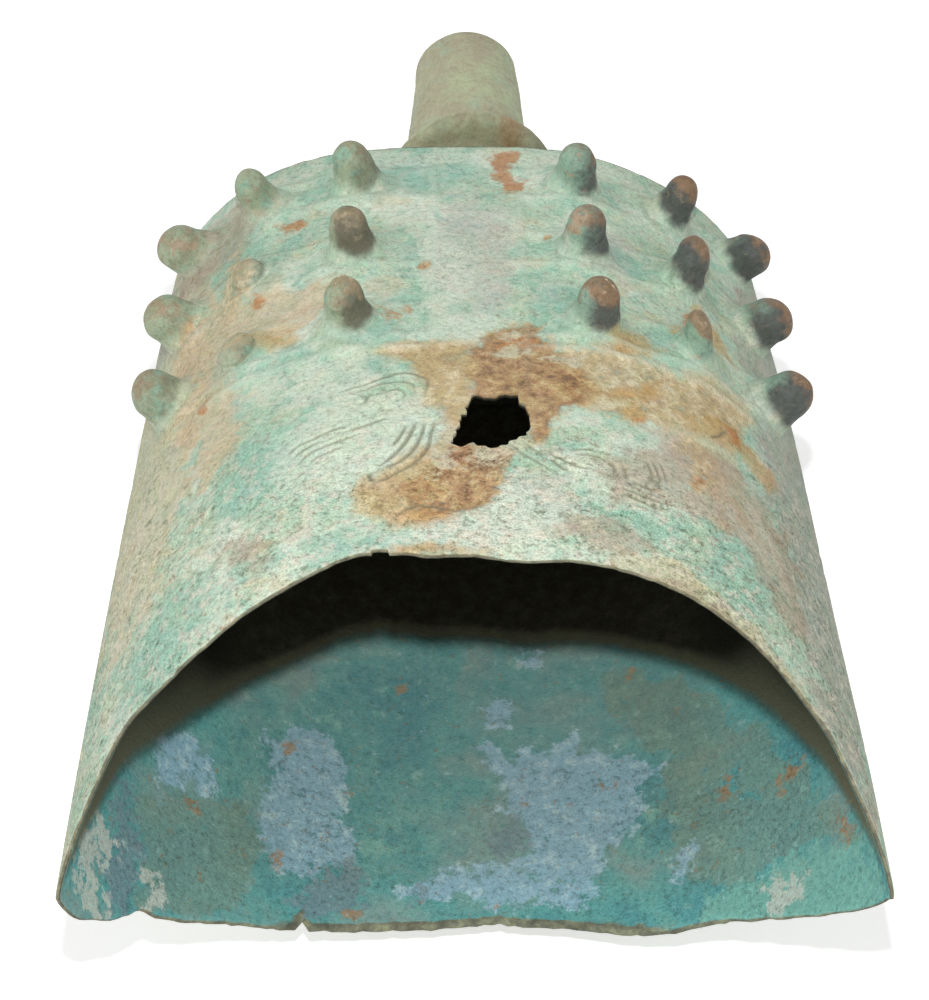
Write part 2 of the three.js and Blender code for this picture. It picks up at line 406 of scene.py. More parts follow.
def srgb(red, green, blue):
    """A colour as an eye reads it, from 0 to 255, turned into linear light."""
    levels = np.array([red, green, blue]) / 255
    linear = np.where(levels <= 0.04045, levels / 12.92, ((levels + 0.055) / 1.055) ** 2.4)
    return (*linear, 1)


class Nodes:
    """A tree of shader nodes: each method adds one node and returns what comes out."""

    def __init__(self, tree):
        self.tree = tree

    def feed(self, socket, value):
        """Links what another node gives to a socket, or sets the socket to a plain value."""
        if isinstance(value, bpy.types.NodeSocket):
            self.tree.links.new(value, socket)
        else:
            socket.default_value = value

    def node(self, kind, **sockets):
        """A node of a kind, with its named sockets fed."""
        made = self.tree.nodes.new(kind)
        for name, value in sockets.items():
            self.feed(made.inputs[name], value)
        return made

    def combined(self, first, second, operation="ADD"):
        """Two numbers made one by an operation."""
        made = self.node("ShaderNodeMath")
        made.operation = operation
        self.feed(made.inputs[0], first)
        self.feed(made.inputs[1], second)
        return made.outputs[0]

    def times(self, first, second):
        """Two numbers multiplied."""
        return self.combined(first, second, "MULTIPLY")

    def fade(self, value, low, high, start=0.0, stop=1.0):
        """Smooth step from start at low to stop at high."""
        made = self.node("ShaderNodeMapRange")
        made.interpolation_type = "SMOOTHSTEP"
        for number, setting in enumerate((value, low, high, start, stop)):
            self.feed(made.inputs[number], setting)
        return made.outputs[0]

    def background_rays(self):
        """1 where a ray looks for the background: from the camera, a gloss or something clear."""
        rays = self.node("ShaderNodeLightPath").outputs
        seen = self.combined(rays["Is Camera Ray"], rays["Is Glossy Ray"], "MAXIMUM")
        return self.combined(seen, rays["Is Transmission Ray"], "MAXIMUM")


class Finish(Nodes):
    """A material built up from nodes on the shader of its surface."""

    def __init__(self, name):
        self.material = bpy.data.materials.new(name)
        self.material.use_nodes = True
        super().__init__(self.material.node_tree)
        self.shader = self.tree.nodes["Principled BSDF"]
        self.place = self.node("ShaderNodeTexCoord").outputs["Object"]

    def clouds(self, size, detail=4.0, roughness=0.55, distortion=0.0, place=None):
        """Noise whose largest lumps are about the given size in millimetres."""
        made = self.node("ShaderNodeTexNoise", Vector=place or self.place, Scale=1000 / size,
                         Detail=detail, Roughness=roughness, Distortion=distortion)
        return made.outputs["Fac"]

    def tints(self, size):
        """Noise in three separate channels, which colours what it is laid over."""
        made = self.node("ShaderNodeTexNoise", Vector=self.place, Scale=1000 / size,
                         Detail=6.0, Roughness=0.68, Distortion=0.4)
        return made.outputs["Color"]

    def shifted(self, millimetres):
        """The place moved aside, so that two noises of one size differ."""
        made = self.node("ShaderNodeMapping", Vector=self.place)
        made.inputs["Location"].default_value = (millimetres / 1000, 0.37, 0.11)
        return made.outputs["Vector"]

    def lay_noises(self):
        """The noises that all colours of a finish share, from broad clouds to fine grain."""
        self.broad = self.clouds(34, 5, 0.6, 0.4)
        self.middle = self.clouds(10, 6, 0.64, 0.3, self.shifted(91))
        self.patch = self.clouds(4.4, 6, 0.72, 0.1, self.shifted(137))
        self.grain = self.clouds(1.7, 4, 0.72, 0.0, self.shifted(5))
        self.fine = self.clouds(0.6, 2, 0.6, 0.0, self.shifted(71))

    def grainy(self, colour, strength=1.0):
        """A colour brighter on the grain's tops and darker between them, most where weathered."""
        uneven = self.fade(self.broad, 0.36, 0.6, 1.0, 0.65)
        worn = self.fade(self.mark("weathered"), 0, 1, 0.45 * strength, 0.85 * strength)
        reach = self.times(uneven, worn)
        for noise, share in ((self.grain, 1.0), (self.fine, 0.6)):
            high = self.times(reach, self.fade(noise, 0.49, 0.64, 0, share))
            low = self.times(reach, self.fade(noise, 0.48, 0.33, 0, share))
            colour = self.mix(high, colour, GLEAM, "MULTIPLY")
            colour = self.mix(low, colour, SHADE, "MULTIPLY")
        return colour

    def mark(self, name):
        """One of the numbers that the mesh keeps for each vertex."""
        made = self.node("ShaderNodeAttribute")
        made.attribute_name = name
        return made.outputs["Fac"]

    def shaken(self, mark, ragged, reach):
        """A mark made uneven by a noise of the given reach."""
        return self.combined(self.mark(mark), self.times(self.combined(ragged, -0.5), reach))

    def ramp(self, value, stops):
        """Colours that follow each other as the value grows, each at its own share."""
        made = self.node("ShaderNodeValToRGB", Fac=value)
        band = made.color_ramp
        while len(band.elements) < len(stops):
            band.elements.new(0.5)
        for element, (share, colour) in zip(band.elements, stops):
            element.position = share
            element.color = colour
        return made.outputs["Color"]

    def mix(self, share, under, over, blend="MIX"):
        """A colour laid over another by a share."""
        made = self.node("ShaderNodeMix")
        made.data_type = "RGBA"
        made.blend_type = blend
        self.feed(made.inputs[0], share)
        self.feed(made.inputs[6], under)
        self.feed(made.inputs[7], over)
        return made.outputs[2]

    def flecked(self, colour, tone, noise, low, high, strength):
        """A tone laid over a colour where a noise or a mark passes from low to high."""
        return self.mix(self.fade(noise, low, high, 0, strength), colour, tone)

    def broken(self, mark, ragged, reach, edge):
        """A mark's area, its outline at 0.5 broken up by a noise of the given reach."""
        return self.fade(self.shaken(mark, ragged, reach), 0.5 - edge, 0.5 + edge)

    def zones(self, colour, table, edge=0.2):
        """Colour laid over in the areas of marks: each with its tone, raggedness and strength."""
        for mark, tone, noise, reach, strength in table:
            area = self.broken(mark, noise, reach, edge)
            area = self.times(area, self.fade(self.mark(mark), 0, 0.3))
            colour = self.mix(self.times(area, strength), colour, tone)
        return colour

    def bump(self, height, distance, under=None):
        """Shading relief, with the height of a full step in millimetres."""
        made = self.node("ShaderNodeBump", Height=height, Distance=distance / 1000, Strength=1.0)
        if under is not None:
            self.feed(made.inputs["Normal"], under)
        return made.outputs["Normal"]


MINT = srgb(190, 213, 190)
DEEP_MINT = srgb(168, 196, 172)
PALE_MINT = srgb(216, 228, 210)
TURQUOISE = srgb(148, 194, 174)
BEIGE = srgb(208, 198, 164)
PINK_WHITE = srgb(222, 213, 196)
ORANGE_BEIGE = srgb(210, 182, 144)
PINK_BROWN = srgb(168, 148, 124)
GREY = srgb(164, 166, 154)
LILAC_GREY = srgb(194, 196, 186)
CREAM = srgb(222, 208, 172)
CRUST = srgb(206, 204, 180)
TAN = srgb(197, 169, 121)
DEEP_TAN = srgb(178, 144, 100)
BROWN = srgb(167, 127, 87)
DARK_BROWN = srgb(128, 94, 64)
RUST = srgb(184, 126, 76)
OCHRE = srgb(198, 156, 88)
# Near black and olive brown: colours of the painted shade inside the bell
PAINTED_SHADE_BLACK = srgb(28, 28, 18)
PAINTED_SHADE_OLIVE = srgb(132, 126, 96)
OLIVE = srgb(152, 152, 118)
FOOT_GREEN = srgb(162, 184, 162)
BOSS_GREEN = srgb(140, 172, 150)
SHADE = srgb(160, 158, 144)
GROOVE_TONE = srgb(124, 122, 100)
GLEAM = (1.3, 1.28, 1.25, 1)
PIT = srgb(116, 108, 88)
SLATE_BLACK = srgb(74, 76, 74)
TEAL = srgb(102, 168, 164)
DEEP_TEAL = srgb(86, 152, 156)
GREY_TEAL = srgb(134, 166, 160)
OLIVE_TEAL = srgb(132, 150, 132)
LILAC = srgb(150, 190, 206)
PALE_LILAC = srgb(188, 216, 226)
SLATE = srgb(120, 146, 154)
BRIGHT_TEAL = srgb(126, 184, 170)
PALE_TEAL = srgb(158, 200, 192)
WHITENED = srgb(200, 208, 196)
EDGE_DARK = srgb(84, 76, 58)
EDGE_OLIVE = srgb(116, 110, 88)
SHANK_OLIVE = srgb(168, 164, 136)
SHANK_GREY = srgb(178, 178, 148)
SHANK_GREEN = srgb(186, 194, 158)
SHANK_PINK = srgb(172, 158, 138)
SHANK_SHADE = srgb(112, 108, 82)
# Bosses' flank, top and dark side; the dark side is partly dark patina and partly painted shade
OLIVE_FLANK = srgb(156, 168, 140)
OLIVE_TOP = srgb(150, 134, 104)
OLIVE_SHADE = srgb(96, 92, 78)
DARK_FLANK = srgb(134, 162, 144)
DARK_TOP = srgb(134, 106, 78)
CLAY_BROWN = srgb(128, 98, 66)
PALE_CLAY = srgb(172, 142, 102)
GRIT_BROWN = srgb(84, 66, 48)


def outside_colour(f):
    """The outer patina: mint, beige and pinkish crusts with turquoise stains, zones and specks."""
    weathered = f.mark("weathered")
    colour = f.ramp(f.broad, [(0.36, DEEP_MINT), (0.5, MINT), (0.62, PALE_MINT)])
    colour = f.flecked(colour, TURQUOISE, f.middle, 0.48, 0.38, 0.6)
    colour = f.flecked(colour, BEIGE, f.middle, 0.52, 0.62, 0.5)
    colour = f.zones(colour, (
        ("khaki", BEIGE, f.middle, 1.4, 0.65),
        ("orange_tint", ORANGE_BEIGE, f.middle, 2.0, 0.6),
        ("grey", GREY, f.middle, 1.6, 0.7),
        ("lilac_grey", LILAC_GREY, f.middle, 1.4, 0.6),
        ("turquoise", TURQUOISE, f.middle, 1.6, 0.7),
        ("foot", FOOT_GREEN, f.middle, 1.6, 0.6),
        ("pale", PALE_MINT, f.middle, 1.6, 0.6),
    ))
    crust = f.times(f.fade(f.patch, 0.5, 0.6), f.fade(weathered, 0, 1, 0.3, 0.58))
    colour = f.mix(crust, colour, PINK_WHITE)
    colour = f.flecked(colour, DEEP_MINT, f.patch, 0.44, 0.34, 0.45)
    brown = f.ramp(f.patch, [(0.38, DARK_BROWN), (0.46, BROWN), (0.6, TAN), (0.7, CREAM)])
    stained = f.ramp(f.patch, [(0.38, BROWN), (0.48, TAN), (0.6, CREAM)])
    tan = f.ramp(f.middle, [(0.4, DEEP_TAN), (0.52, TAN), (0.64, CREAM)])
    colour = f.zones(colour, (
        ("pink_brown", PINK_BROWN, f.middle, 3.0, 0.55),
        ("tan", tan, f.middle, 1.8, 0.85),
        ("mottled", stained, f.patch, 3.6, 0.75),
        ("ochre", OCHRE, f.middle, 2.4, 0.6),
    ), 0.4)
    colour = f.zones(colour, (
        ("brown", brown, f.patch, 1.6, 0.92),
        ("rust", RUST, f.patch, 2.2, 0.8),
        ("crust", CRUST, f.patch, 3.2, 0.7),
    ), 0.25)
    colour = f.mix(0.14, colour, f.tints(7), "OVERLAY")
    specks = f.clouds(3.4, 5, 0.8, 0.0, f.shifted(7))
    rusty = f.times(f.fade(specks, 0.6, 0.67), f.fade(weathered, 0, 1, 0.3, 0.7))
    colour = f.mix(rusty, colour, BROWN)
    dark = f.times(f.fade(specks, 0.37, 0.31), f.fade(weathered, 0, 1, 0.2, 0.5))
    colour = f.mix(dark, colour, PIT)
    pitted = f.times(f.fade(f.patch, 0.42, 0.36), f.fade(f.mark("pitted"), 0.3, 0.9, 0.05, 0.5))
    colour = f.mix(pitted, colour, PIT)
    colour = f.grainy(colour)
    colour = f.flecked(colour, GROOVE_TONE, f.mark("hollow"), 0.0, 0.9, 0.65)
    return f.flecked(colour, PALE_MINT, f.mark("crest"), 0.2, 1.0, 0.3)


def inside_colour(f):
    """The inner patina: teal clouds with lilac, slate and rusty patches, and painted shade, olive
    brown then almost black, past where the front rim cuts off the lamp.
    """
    colour = f.ramp(f.broad, [(0.36, DEEP_TEAL), (0.5, TEAL), (0.64, GREY_TEAL)])
    colour = f.flecked(colour, BRIGHT_TEAL, f.middle, 0.52, 0.64, 0.4)
    colour = f.flecked(colour, DEEP_TEAL, f.middle, 0.46, 0.36, 0.4)
    lilac = f.ramp(f.patch, [(0.34, SLATE), (0.43, LILAC), (0.54, LILAC), (0.64, PALE_LILAC)])
    lilac = f.flecked(lilac, SLATE, f.grain, 0.46, 0.38, 0.25)
    colour = f.zones(colour, (
        ("olive", OLIVE_TEAL, f.middle, 3.0, 0.5),
        ("bright", BRIGHT_TEAL, f.patch, 3.0, 0.8),
        ("lilac", lilac, f.patch, 3.2, 0.9),
        ("slate", SLATE, f.patch, 3.4, 0.8),
        ("whitened", WHITENED, f.patch, 3.6, 0.8),
        ("browned", BROWN, f.patch, 3.0, 0.8),
    ), 0.14)
    colour = f.flecked(colour, PALE_TEAL, f.patch, 0.57, 0.68, 0.45)
    colour = f.flecked(colour, DEEP_TEAL, f.patch, 0.42, 0.34, 0.3)
    specks = f.clouds(5, 4, 0.8, 0.0, f.shifted(63))
    colour = f.flecked(colour, BROWN, specks, 0.62, 0.68, 0.6)
    flecks = f.clouds(3, 4, 0.8, 0.0, f.shifted(29))
    colour = f.flecked(colour, PALE_LILAC, flecks, 0.62, 0.7, 0.5)
    colour = f.grainy(colour, 0.75)
    # Painted shade: past where the front rim cuts off the lamp, the colour turns olive brown and then
    # almost black
    depth = f.mark("depth")
    colour = f.flecked(colour, PAINTED_SHADE_OLIVE, depth, 0.0, 0.09, 0.9)
    return f.flecked(colour, PAINTED_SHADE_BLACK, depth, 0.07, 0.42, 0.97)


def dull_bronze(f, colour, relief, rough, smooth, level):
    """Dull metal salts: rough in the hollows of the grain and a little smoother on its tops."""
    f.feed(f.shader.inputs["Base Color"], colour)
    f.feed(f.shader.inputs["Roughness"], f.fade(f.grain, 0.35, 0.65, rough, smooth))
    f.feed(f.shader.inputs["Normal"], relief)
    f.shader.inputs["Specular IOR Level"].default_value = level
    return f.material


def wall_finish():
    """The outer patina and the inner one, with an olive edge between them and a calmer inside."""
    f = Finish("bronze_patina")
    f.lay_noises()
    colour = f.mix(f.fade(f.mark("interior"), 0.3, 0.7), outside_colour(f), inside_colour(f))
    edge = f.ramp(f.patch, [(0.36, EDGE_DARK), (0.5, EDGE_OLIVE), (0.66, OLIVE)])
    colour = f.flecked(colour, edge, f.mark("edge"), 0.0, 0.4, 0.9)
    calm = f.fade(f.mark("interior"), 0, 1, 1, 0.45)
    relief = f.bump(f.times(f.patch, calm), 0.9)
    relief = f.bump(f.times(f.grain, calm), 0.55, relief)
    return dull_bronze(f, colour, f.bump(f.fine, 0.15, relief), 0.9, 0.7, 0.3)


def boss_finish(name, flank, crown, dark_patina_and_shade):
    """A boss's bronze: the wall's patina at its root, its own tones on flank and top, a dark side
    that is partly patina and partly painted shade, and painted glints.
    """
    f = Finish(name)
    f.lay_noises()
    wall = outside_colour(f)
    blotches = f.clouds(7, 5, 0.66, 0.2, f.shifted(211))
    own = f.ramp(blotches, [(0.38, BOSS_GREEN), (0.47, flank), (0.55, flank), (0.63, PINK_BROWN)])
    sides = (("dark", dark_patina_and_shade, 1.4, 0.95), ("browned_top", crown, 2.4, 0.85))
    for mark, tone, reach, strength in sides:
        own = f.flecked(own, tone, f.shaken(mark, f.patch, reach), 0.15, 0.85, strength)
    own = f.flecked(own, dark_patina_and_shade, f.patch, 0.44, 0.34, 0.45)
    own = f.flecked(own, BEIGE, f.patch, 0.56, 0.68, 0.14)
    own = f.grainy(own, 0.9)
    colour = f.mix(f.broken("root", f.middle, 1.5, 0.4), own, wall)
    # Painted glints: cream flecks on the tops of some bosses stand in for highlights
    glint = f.times(f.mark("glint"), f.fade(f.patch, 0.54, 0.58))
    colour = f.mix(glint, colour, CREAM)
    relief = f.bump(f.grain, 0.25, f.bump(f.patch, 0.5))
    return dull_bronze(f, colour, relief, 0.75, 0.5, 0.4)


def shank_finish():
    """Smooth olive bronze with pinkish and mint blotches, with painted shade beside the ring and on
    the right.
    """
    f = Finish("bronze_shank")
    f.lay_noises()
    colour = f.ramp(f.broad, [(0.38, SHANK_OLIVE), (0.5, SHANK_GREY), (0.62, SHANK_GREEN)])
    colour = f.flecked(colour, SHANK_PINK, f.middle, 0.5, 0.62, 0.4)
    colour = f.flecked(colour, DEEP_MINT, f.middle, 0.46, 0.38, 0.35)
    stains = (("root", FOOT_GREEN, 0.7), ("rusty", BROWN, 0.8), ("dark", SHANK_SHADE, 0.7))
    for mark, tone, strength in stains:
        colour = f.flecked(colour, tone, f.shaken(mark, f.patch, 1.2), 0.1, 0.9, strength)
    colour = f.flecked(colour, BEIGE, f.patch, 0.56, 0.66, 0.3)
    colour = f.grainy(colour, 0.7)
    relief = f.bump(f.grain, 0.2, f.bump(f.patch, 0.35))
    return dull_bronze(f, colour, relief, 0.8, 0.6, 0.4)


def clay_finish():
    """Dry fired clay: brown clouds with dark grit."""
    f = Finish("casting_clay")
    broad = f.clouds(12, 5, 0.6)
    grit = f.clouds(1.2, 4, 0.7, 0.2, f.shifted(3))
    colour = f.ramp(broad, [(0.35, CLAY_BROWN), (0.65, PALE_CLAY)])
    colour = f.flecked(colour, GRIT_BROWN, grit, 0.56, 0.7, 0.6)
    f.feed(f.shader.inputs["Base Color"], colour)
    f.feed(f.shader.inputs["Roughness"], f.fade(grit, 0.3, 0.7, 0.95, 0.85))
    f.feed(f.shader.inputs["Normal"], f.bump(grit, 0.5))
    return f.material


WALL_FINISH = wall_finish()
# The dark side colours of both boss finishes are partly dark patina and partly painted shade
OLIVE_FINISH = boss_finish("bronze_olive", OLIVE_FLANK, OLIVE_TOP, OLIVE_SHADE)
DARK_FINISH = boss_finish("bronze_dark", DARK_FLANK, DARK_TOP, SLATE_BLACK)
SHANK_FINISH = shank_finish()

# Rims: the worn line of the front face (1) and of the rear one (-1) as (x, fall), and their chips as
# (from x, to x, depth)

RIM_LINES = {
    1: [(-108, 244), (-102, 236.5), (-95, 226.5), (-90, 220), (-80, 216), (-70, 212), (-60, 206),
        (-50, 202), (-40, 197), (-30, 192.6), (-22, 193.2), (-12, 194.5), (0, 195), (10, 196.3),
        (30, 195.8), (40, 197.3), (50, 199.8), (60, 202.8), (70, 207.4), (80, 214.5), (90, 222.3),
        (95, 229), (101, 236.5), (108, 244)],
    -1: [(-108, 244), (-105, 241.8), (-102, 237.4), (-98, 231.4), (-94, 224.5), (-88, 219.3),
         (-80, 214.4), (-70, 209.3), (-60, 206), (-50, 203.5), (-40, 201.5), (-30, 200.3),
         (-20, 199.2), (-10, 199), (0, 197.6), (8, 196.8), (20, 198.5), (30, 200), (40, 202.5),
         (50, 205.2), (60, 207.3), (70, 209.2), (80, 214.3), (88, 220.5), (95, 226.5), (102, 234.3),
         (108, 243)],
}
RIM_CHIPS = {
    1: [(-26, -22, 1.2)],
    -1: [(-93, -89.5, 1.6), (-50.2, -48.8, 3.0), (7.6, 9.4, 0.8)],
}
CHIP_SLOPE = 0.35
RIM_STEP = 1.5
RIM_CLOUDS = ((6, 0.5), (2.2, 0.25))
# How far from the middle plane each face's rim takes its clouds
CLOUDS_APART = 40
RIM_MARGIN = 0.3


def rim_fall(x, face):
    """Fall of the worn rim of a face: a smooth line with small steps and steep-sided chips."""
    line = smooth_line(RIM_LINES[face], RIM_STEP)
    fall = np.interp(x, line[:, 0], line[:, 1])
    along_rim = np.stack([x, 0 * x, 0 * x + CLOUDS_APART * face], -1)
    fall = fall + layered_clouds(along_rim, RIM_CLOUDS, 11)
    for start, stop, depth in RIM_CHIPS[face]:
        inside = fade(x, start - CHIP_SLOPE, start) * fade(x, stop + CHIP_SLOPE, stop)
        fall = fall - depth * inside
    return np.minimum(fall, BODY_LENGTH - RIM_MARGIN)


# Relief of the outer skin

RIDGE_HEIGHT = 0.8
RIDGE_WIDTH = 1.5
BAND_REACH = 7.5
FIELD_INNER = 12
FIELD_OUTER = 90
# The middle panel's upright ridges: x, and the falls where each starts and ends
PANEL_LINES = [(-10.3, 8, 107), (15.4, 30, 127)]
FIELD_END_FALL = 106.8
SKIRT_HEIGHT = 2.2
SKIRT_START = 5.5
SKIRT_WIDTH = 6.5
# Past these distances across and lengthwise a swell is left out
SKIRT_LIMITS = (24, 20)
GROOVE_DEPTH = 0.62
GROOVE_WIDTH = 0.5
GROOVE_LIMIT = 1.3
LIP_REACH = 1.35
LIP_WIDTH = 0.5
LIP_HEIGHT = 0.22

# Strokes of the front face as (x, fall), each after its depth as a share: the scrolls, and at the
# end the edge of a flake and a crack

STROKES = [
    (0.7, [(-35, 124.5), (-28, 122.2), (-20, 118.8), (-15, 119.7), (-11.8, 122.5), (-12.8, 129.5)]),
    (0.6, [(-33.5, 125.8), (-30, 125.2), (-25, 123.2), (-19, 122.5), (-16, 124), (-15.6, 128)]),
    (0.6, [(-32, 126.5), (-28.8, 127.7), (-28.6, 130.5), (-31, 131.4)]),
    (0.5, [(-29.5, 128.8), (-24, 127), (-20, 126), (-18, 127.6), (-19, 130.4), (-22, 131)]),
    (0.4, [(-25.5, 135.2), (-24, 134.5), (-21, 134.2)]),
    (0.8, [(-49.5, 147.5), (-47, 144.5), (-42.5, 143.2), (-37, 141), (-33, 140.2)]),
    (0.7, [(-47, 149), (-46.2, 147.5), (-42.5, 145.5), (-40.5, 145)]),
    (0.7, [(-34, 142.5), (-31, 141.5), (-25, 139.2), (-23, 138.5)]),
    (0.6, [(-46, 152.5), (-44.2, 149.4), (-40, 147.6), (-35, 146), (-30, 144.2)]),
    (0.5, [(-43.5, 154), (-42, 151.6), (-38, 150), (-33.5, 148.4)]),
    (1.3, [(-9.8, 140), (-11, 146), (-12, 152), (-15, 157.5), (-20.5, 162), (-25, 164.8)]),
    (1.3, [(-12.5, 140.5), (-13.5, 146), (-15.5, 152), (-19, 157), (-23.5, 159.5)]),
    (1.2, [(-15, 140.5), (-16.3, 145.5), (-19, 151.5), (-22.5, 156.5), (-24.5, 158.5)]),
    (0.9, [(-17.8, 141.5), (-18.6, 145), (-21, 150)]),
    (0.8, [(-26.5, 160.5), (-27, 162.5), (-26.2, 164.5)]),
    (0.7, [(20.5, 156), (23, 159), (25, 160.5)]),
    (0.7, [(19, 152), (22, 155), (27, 158), (31, 158.6)]),
    (0.6, [(14, 150), (17, 153), (19.5, 154.5)]),
    (0.6, [(10, 150), (13, 154), (17, 157.5), (22, 161)]),
    (0.6, [(26, 151.5), (30, 150.6), (34, 150.8)]),
    (0.6, [(27, 153.4), (30.5, 152.6), (34, 153)]),
    (0.7, [(46, 151), (47, 154), (47.5, 157.5), (46, 160)]),
    (0.7, [(47.5, 150.5), (49, 154), (49.4, 158), (48, 161)]),
    (0.6, [(49.8, 150.5), (51, 154.5), (51.4, 158)]),
    (0.6, [(39.8, 155), (40.4, 158), (39.8, 161)]),
    (0.6, [(36, 154), (37.4, 157), (37, 160)]),
    (0.6, [(40, 165), (44, 166), (49, 166.8), (52, 166)]),
    (0.6, [(38.5, 167), (42, 168), (46.5, 169.5), (50, 169)]),
    (0.6, [(42, 161), (45, 162.5), (48, 162.5)]),
    (0.5, [(41, 171), (44, 170.7), (47, 171.5)]),
    (1.1, [(-19.7, 179), (-18, 177), (-15.5, 175.5), (-12.5, 175.2), (-10, 175.7), (-7, 176.5),
           (-4.5, 177.2)]),
    (0.8, [(66, 129), (69, 126), (70.5, 123), (72, 121)]),
]
STROKE_STEP = 1.2
STROKE_REACH = 3


def row_fall(row):
    """Fall of the middle of a row of bosses."""
    return FIRST_ROW_FALL + (row - 1) * ROW_PITCH


def boss_places():
    """Name, share across, fall and face of each of the 36 bosses."""
    for face_name, face in FACES.items():
        for side_name, side in SIDES.items():
            for row in ROWS:
                for column, share in COLUMN_SHARES.items():
                    name = f"boss_{face_name}_{side_name}_r{row}_{column}"
                    yield name, side * share, row_fall(row), face


def stroke_depth(x, fall):
    """Depth of the strokes from 0 to 1 and of their raised lips, fading at both ends."""
    groove = np.zeros(x.shape)
    lip = np.zeros(x.shape)
    for strength, points in STROKES:
        line = smooth_line(points, STROKE_STEP)
        low, high = line.min(0) - STROKE_REACH, line.max(0) + STROKE_REACH
        near = (x > low[0]) & (x < high[0]) & (fall > low[1]) & (fall < high[1])
        reach, share = line_distance(x[near], fall[near], line)
        ends = np.clip(np.sin(np.pi * np.clip(share, 0.02, 0.98)), 0, 1) ** 0.35
        depth = min(GROOVE_LIMIT * strength, GROOVE_LIMIT) * ends
        cut = depth * hump(reach, GROOVE_WIDTH)
        edge = depth * hump(reach - LIP_REACH, LIP_WIDTH)
        groove[near] = np.maximum(groove[near], cut)
        lip[near] = np.maximum(lip[near], edge)
    return groove, lip


def ridge_height(x, fall):
    """Height of the straight cast ridges that frame the rows of bosses and the middle panel."""
    away = np.abs(x)
    field = fade(away, FIELD_INNER - 2, FIELD_INNER) * fade(away, FIELD_OUTER, FIELD_OUTER - 8)
    borders = [row_fall(row) + side * BAND_REACH for row in ROWS for side in (-1, 1)]
    height = np.zeros(x.shape)
    for border in (*borders, FIELD_END_FALL):
        height = np.maximum(height, field * hump(fall - border, RIDGE_WIDTH))
    for across, start, stop in PANEL_LINES:
        span = fade(fall, start - 3, start) * fade(fall, stop, stop - 3)
        height = np.maximum(height, span * hump(x - across, RIDGE_WIDTH))
    return height


def skirt_height(points, face):
    """Soft swell of the wall round each boss, a bell curve of the distance from its axis."""
    height = np.zeros(len(points))
    for _, across, fall, boss_face in boss_places():
        seat = face_point(across, fall, boss_face, 0)
        outwards = face_normal(across, fall, boss_face)
        beside = np.abs(points[:, 0] - seat[0]) < SKIRT_LIMITS[0]
        level = np.abs(points[:, 1] - seat[1]) < SKIRT_LIMITS[1]
        near = (face == boss_face) & beside & level
        offset = points[near] - seat
        reach = np.linalg.norm(offset - (offset @ outwards)[:, None] * outwards, axis=1)
        swell = hump(np.maximum(reach - SKIRT_START, 0), SKIRT_WIDTH)
        height[near] = np.maximum(height[near], swell)
    return height


# Body wall

ARC_STEPS = 3000
FRONT_COLUMNS = 186
REAR_COLUMNS = 128
OUTER_ROWS = 150
INNER_ROWS = 80
TOP_FALL = 1.5
# Rings that round the wall's top edge: fall and proud of each
TOP_CORNER = ((0.05, -1.5), (0.4, -0.4))
CEILING_OVERLAP = 0.2
INNER_CROWDING = 1.15
RIM_WALL = 1.7
REAR_RIM_WALL = 3.0
RIM_ROUNDING = 0.6
RIM_ANGLES = (0.4, 0.9, 1.4, 1.9, 2.4)
RIM_THINNING = 14
# Width of the olive band painted inside the rear rim, partly the rim's edge and partly painted shade
# under it, and the distances from its middle where it ends
REAR_RIM_BAND = 1.3
REAR_RIM_BAND_ENDS = (62, 40)
# Falls of the middle of the body and of the rim, at which places across are worked out
MIDDLE_FALL = 150.0
MEAN_RIM_FALL = 205
FINE_CUTS = 2
FINE_REACH = 2.0
SEARCH_REACH = 30
# A point that stands out more than this belongs to the outer skin
SKIN_LIMIT = -0.3

HOLE_LINE = [(-5.7, 150.4), (-4.4, 144.9), (-2.9, 139.7), (-1.3, 133.2), (0.4, 129.2), (4.9, 129.6),
             (8.9, 128.4), (11.9, 129), (13.1, 132.6), (14.8, 136.4), (14.9, 145.5), (10.9, 148.2),
             (8.7, 150.8), (4, 151.7), (-0.7, 150.4), (-2.8, 151.7)]
HOLE_STEP = 0.7
HOLE_TEETH = 0.75
TEETH_CLOUDS = ((1.5, 1), (0.8, 0.5))
# Heights of the cutter's rings, and how far each grows past the hole's outline
CUTTER_RINGS = ((20, -0.9), (66, -0.5), (72.6, 0), (100, 0))
HOLE_MIDDLE = (4.7, 141)
HOLE_THINNING = 12
HOLE_WALL = 1.7


def section_angles(face, count):
    """Angles whose cosines are steps of equal length round one face, from rib to rib."""
    fine = np.linspace(0, math.pi, ARC_STEPS)
    curve = face_point(np.cos(fine), MIDDLE_FALL, face, 0)
    steps = np.linalg.norm(np.diff(curve, axis=0), axis=1)
    length = np.concatenate([[0], np.cumsum(steps)])
    return np.interp(np.linspace(0, length[-1], count + 1)[:-1], length, fine)


def section_columns():
    """Shares across and faces of the columns, with extra ones at the sides of each chip."""
    shares = []
    faces = []
    for face, count in ((1, FRONT_COLUMNS), (-1, REAR_COLUMNS)):
        angles = section_angles(face, count)
        sides = [side for start, stop, _ in RIM_CHIPS[face]
                 for side in (start - CHIP_SLOPE, start, stop, stop + CHIP_SLOPE)]
        extra = np.arccos(np.array(sides) / half_width(MEAN_RIM_FALL))
        angles = np.sort(np.concatenate([angles, extra]))
        order = np.cos(angles)
        shares.append(order if face == 1 else -order)
        faces.append(np.full(len(angles), face))
    return np.concatenate(shares), np.concatenate(faces)


def rim_wall(across, face):
    """Thickness at the rim: the rear face's is greater, and blends into the front's at the ribs."""
    rearness = np.where(face == -1, fade(section_share(across), 0, 0.8), 0)
    return RIM_WALL + (REAR_RIM_WALL - RIM_WALL) * rearness


